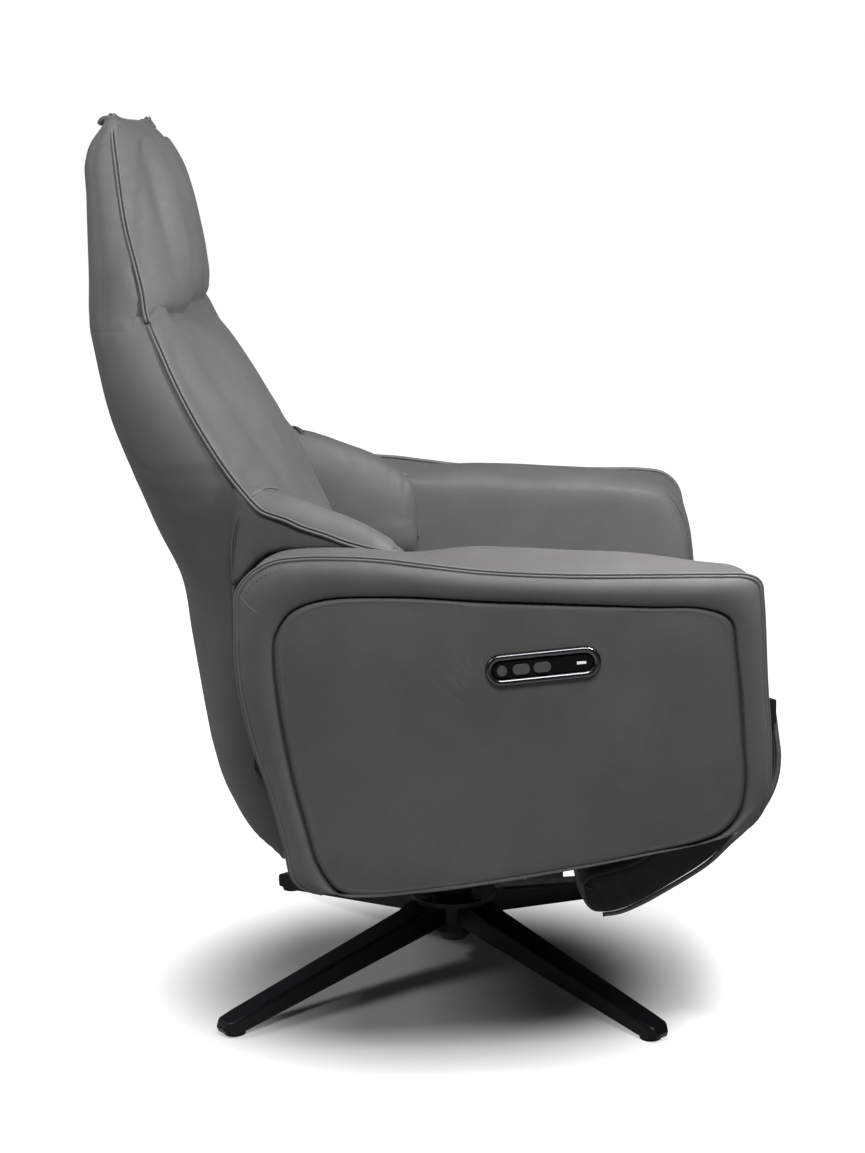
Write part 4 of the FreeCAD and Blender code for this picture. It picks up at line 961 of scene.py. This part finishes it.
def make_camera():
    """The photograph's view, from the sitter's right and a little above."""
    ahead = Vector((math.cos(CAMERA_DOWN) * math.cos(CAMERA_TURN),
                    math.cos(CAMERA_DOWN) * math.sin(CAMERA_TURN), -math.sin(CAMERA_DOWN)))
    flat = ahead.cross(Vector((0, 0, 1))).normalized()
    up = flat.cross(ahead)
    right = math.cos(CAMERA_ROLL) * flat + math.sin(CAMERA_ROLL) * up
    above = -math.sin(CAMERA_ROLL) * flat + math.cos(CAMERA_ROLL) * up
    data = bpy.data.cameras.new("camera")
    data.sensor_width = 36.0
    data.lens = FOCAL_PIXELS / PHOTO_HEIGHT * data.sensor_width
    camera = bpy.data.objects.new("camera", data)
    bpy.context.scene.collection.objects.link(camera)
    turn = Matrix((right, above, -ahead)).transposed()
    camera.matrix_world = Matrix.Translation(CAMERA_SPOT) @ turn.to_4x4()
    bpy.context.scene.camera = camera


def area_light(name, spot, target, size, power):
    """A soft box at a spot, aimed at a target and hidden from the camera."""
    data = bpy.data.lights.new(name, "AREA")
    data.shape = "RECTANGLE"
    data.size, data.size_y = size
    data.energy = power
    light = bpy.data.objects.new(name, data)
    light.location = spot
    light.visible_camera = False
    light.rotation_euler = (Vector(target) - Vector(spot)).to_track_quat("-Z", "Y").to_euler()
    bpy.context.scene.collection.objects.link(light)
    return light


def pale_floor():
    """White paper with a painted shadow: plain near the chair, and to the camera glowing as bright as the
    backdrop outside an oval round the base, so the dark patch under the chair is partly painted shadow and
    partly real shadow.
    """
    material, tree, shader = new_material("pale_floor")
    place = tree.nodes.new("ShaderNodeTexCoord")
    # the oval's place and size set the outline of the painted shadow
    oval = tree.nodes.new("ShaderNodeMapping")
    oval.inputs["Location"].default_value = (0.095, -0.03, 0.0)
    oval.inputs["Scale"].default_value = (1.2, 1.0, 1.0)
    tree.links.new(place.outputs["Object"], oval.inputs["Vector"])
    far = tree.nodes.new("ShaderNodeVectorMath")
    far.operation = "LENGTH"
    tree.links.new(oval.outputs["Vector"], far.inputs[0])
    fade = tree.nodes.new("ShaderNodeMapRange")
    fade.inputs["From Min"].default_value = 0.20
    fade.inputs["From Max"].default_value = 0.46
    fade.interpolation_type = "SMOOTHSTEP"
    tree.links.new(far.outputs["Value"], fade.inputs["Value"])
    # painted light: the glow is seen by camera rays only and fades in across the oval's edge
    path = tree.nodes.new("ShaderNodeLightPath")
    only = tree.nodes.new("ShaderNodeMath")
    only.operation = "MULTIPLY"
    tree.links.new(fade.outputs["Result"], only.inputs[0])
    tree.links.new(path.outputs["Is Camera Ray"], only.inputs[1])
    tree.links.new(only.outputs["Value"], shader.inputs["Emission Strength"])
    shader.inputs["Emission Color"].default_value = (1, 1, 1, 1)
    shader.inputs["Base Color"].default_value = (0.45, 0.45, 0.45, 1)
    shader.inputs["Roughness"].default_value = 0.9
    return material


def make_stage():
    """A white backdrop that lights the chair only a little, the floor and three soft boxes."""
    world = bpy.data.worlds.new("studio")
    bpy.context.scene.world = world
    world.use_nodes = True
    tree = world.node_tree
    seen = tree.nodes["Background"]
    seen.inputs["Color"].default_value = (1, 1, 1, 1)
    seen.inputs["Strength"].default_value = 1.0
    lit = tree.nodes.new("ShaderNodeBackground")
    lit.inputs["Color"].default_value = (1, 1, 1, 1)
    lit.inputs["Strength"].default_value = 0.10
    path = tree.nodes.new("ShaderNodeLightPath")
    mix = tree.nodes.new("ShaderNodeMixShader")
    tree.links.new(path.outputs["Is Camera Ray"], mix.inputs["Fac"])
    tree.links.new(lit.outputs["Background"], mix.inputs[1])
    tree.links.new(seen.outputs["Background"], mix.inputs[2])
    tree.links.new(mix.outputs["Shader"], tree.nodes["World Output"].inputs["Surface"])
    bpy.context.scene.view_settings.view_transform = "Standard"
    far = 9000
    floor = make_mesh("floor", [(-far, -far, 0), (far, -far, 0), (far, far, 0), (-far, far, 0)],
                      [(0, 1, 2, 3)], pale_floor())
    area_light("side_softbox", (-1.6, 0.0, 2.4), (0, 0, 0.7), (1.5, 0.6), 58)
    area_light("rear_softbox", (-0.3, 2.5, 2.4), (0, 0, 0.6), (1.0, 1.0), 42)
    area_light("inner_softbox", (-0.36, -0.48, 1.24), (0.25, 0, 0.5), (0.1, 0.5), 17)


settle_all()
for thing in [HEAD_SKIN] + HEAD_WELT:
    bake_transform(thing)
make_camera()
make_stage()
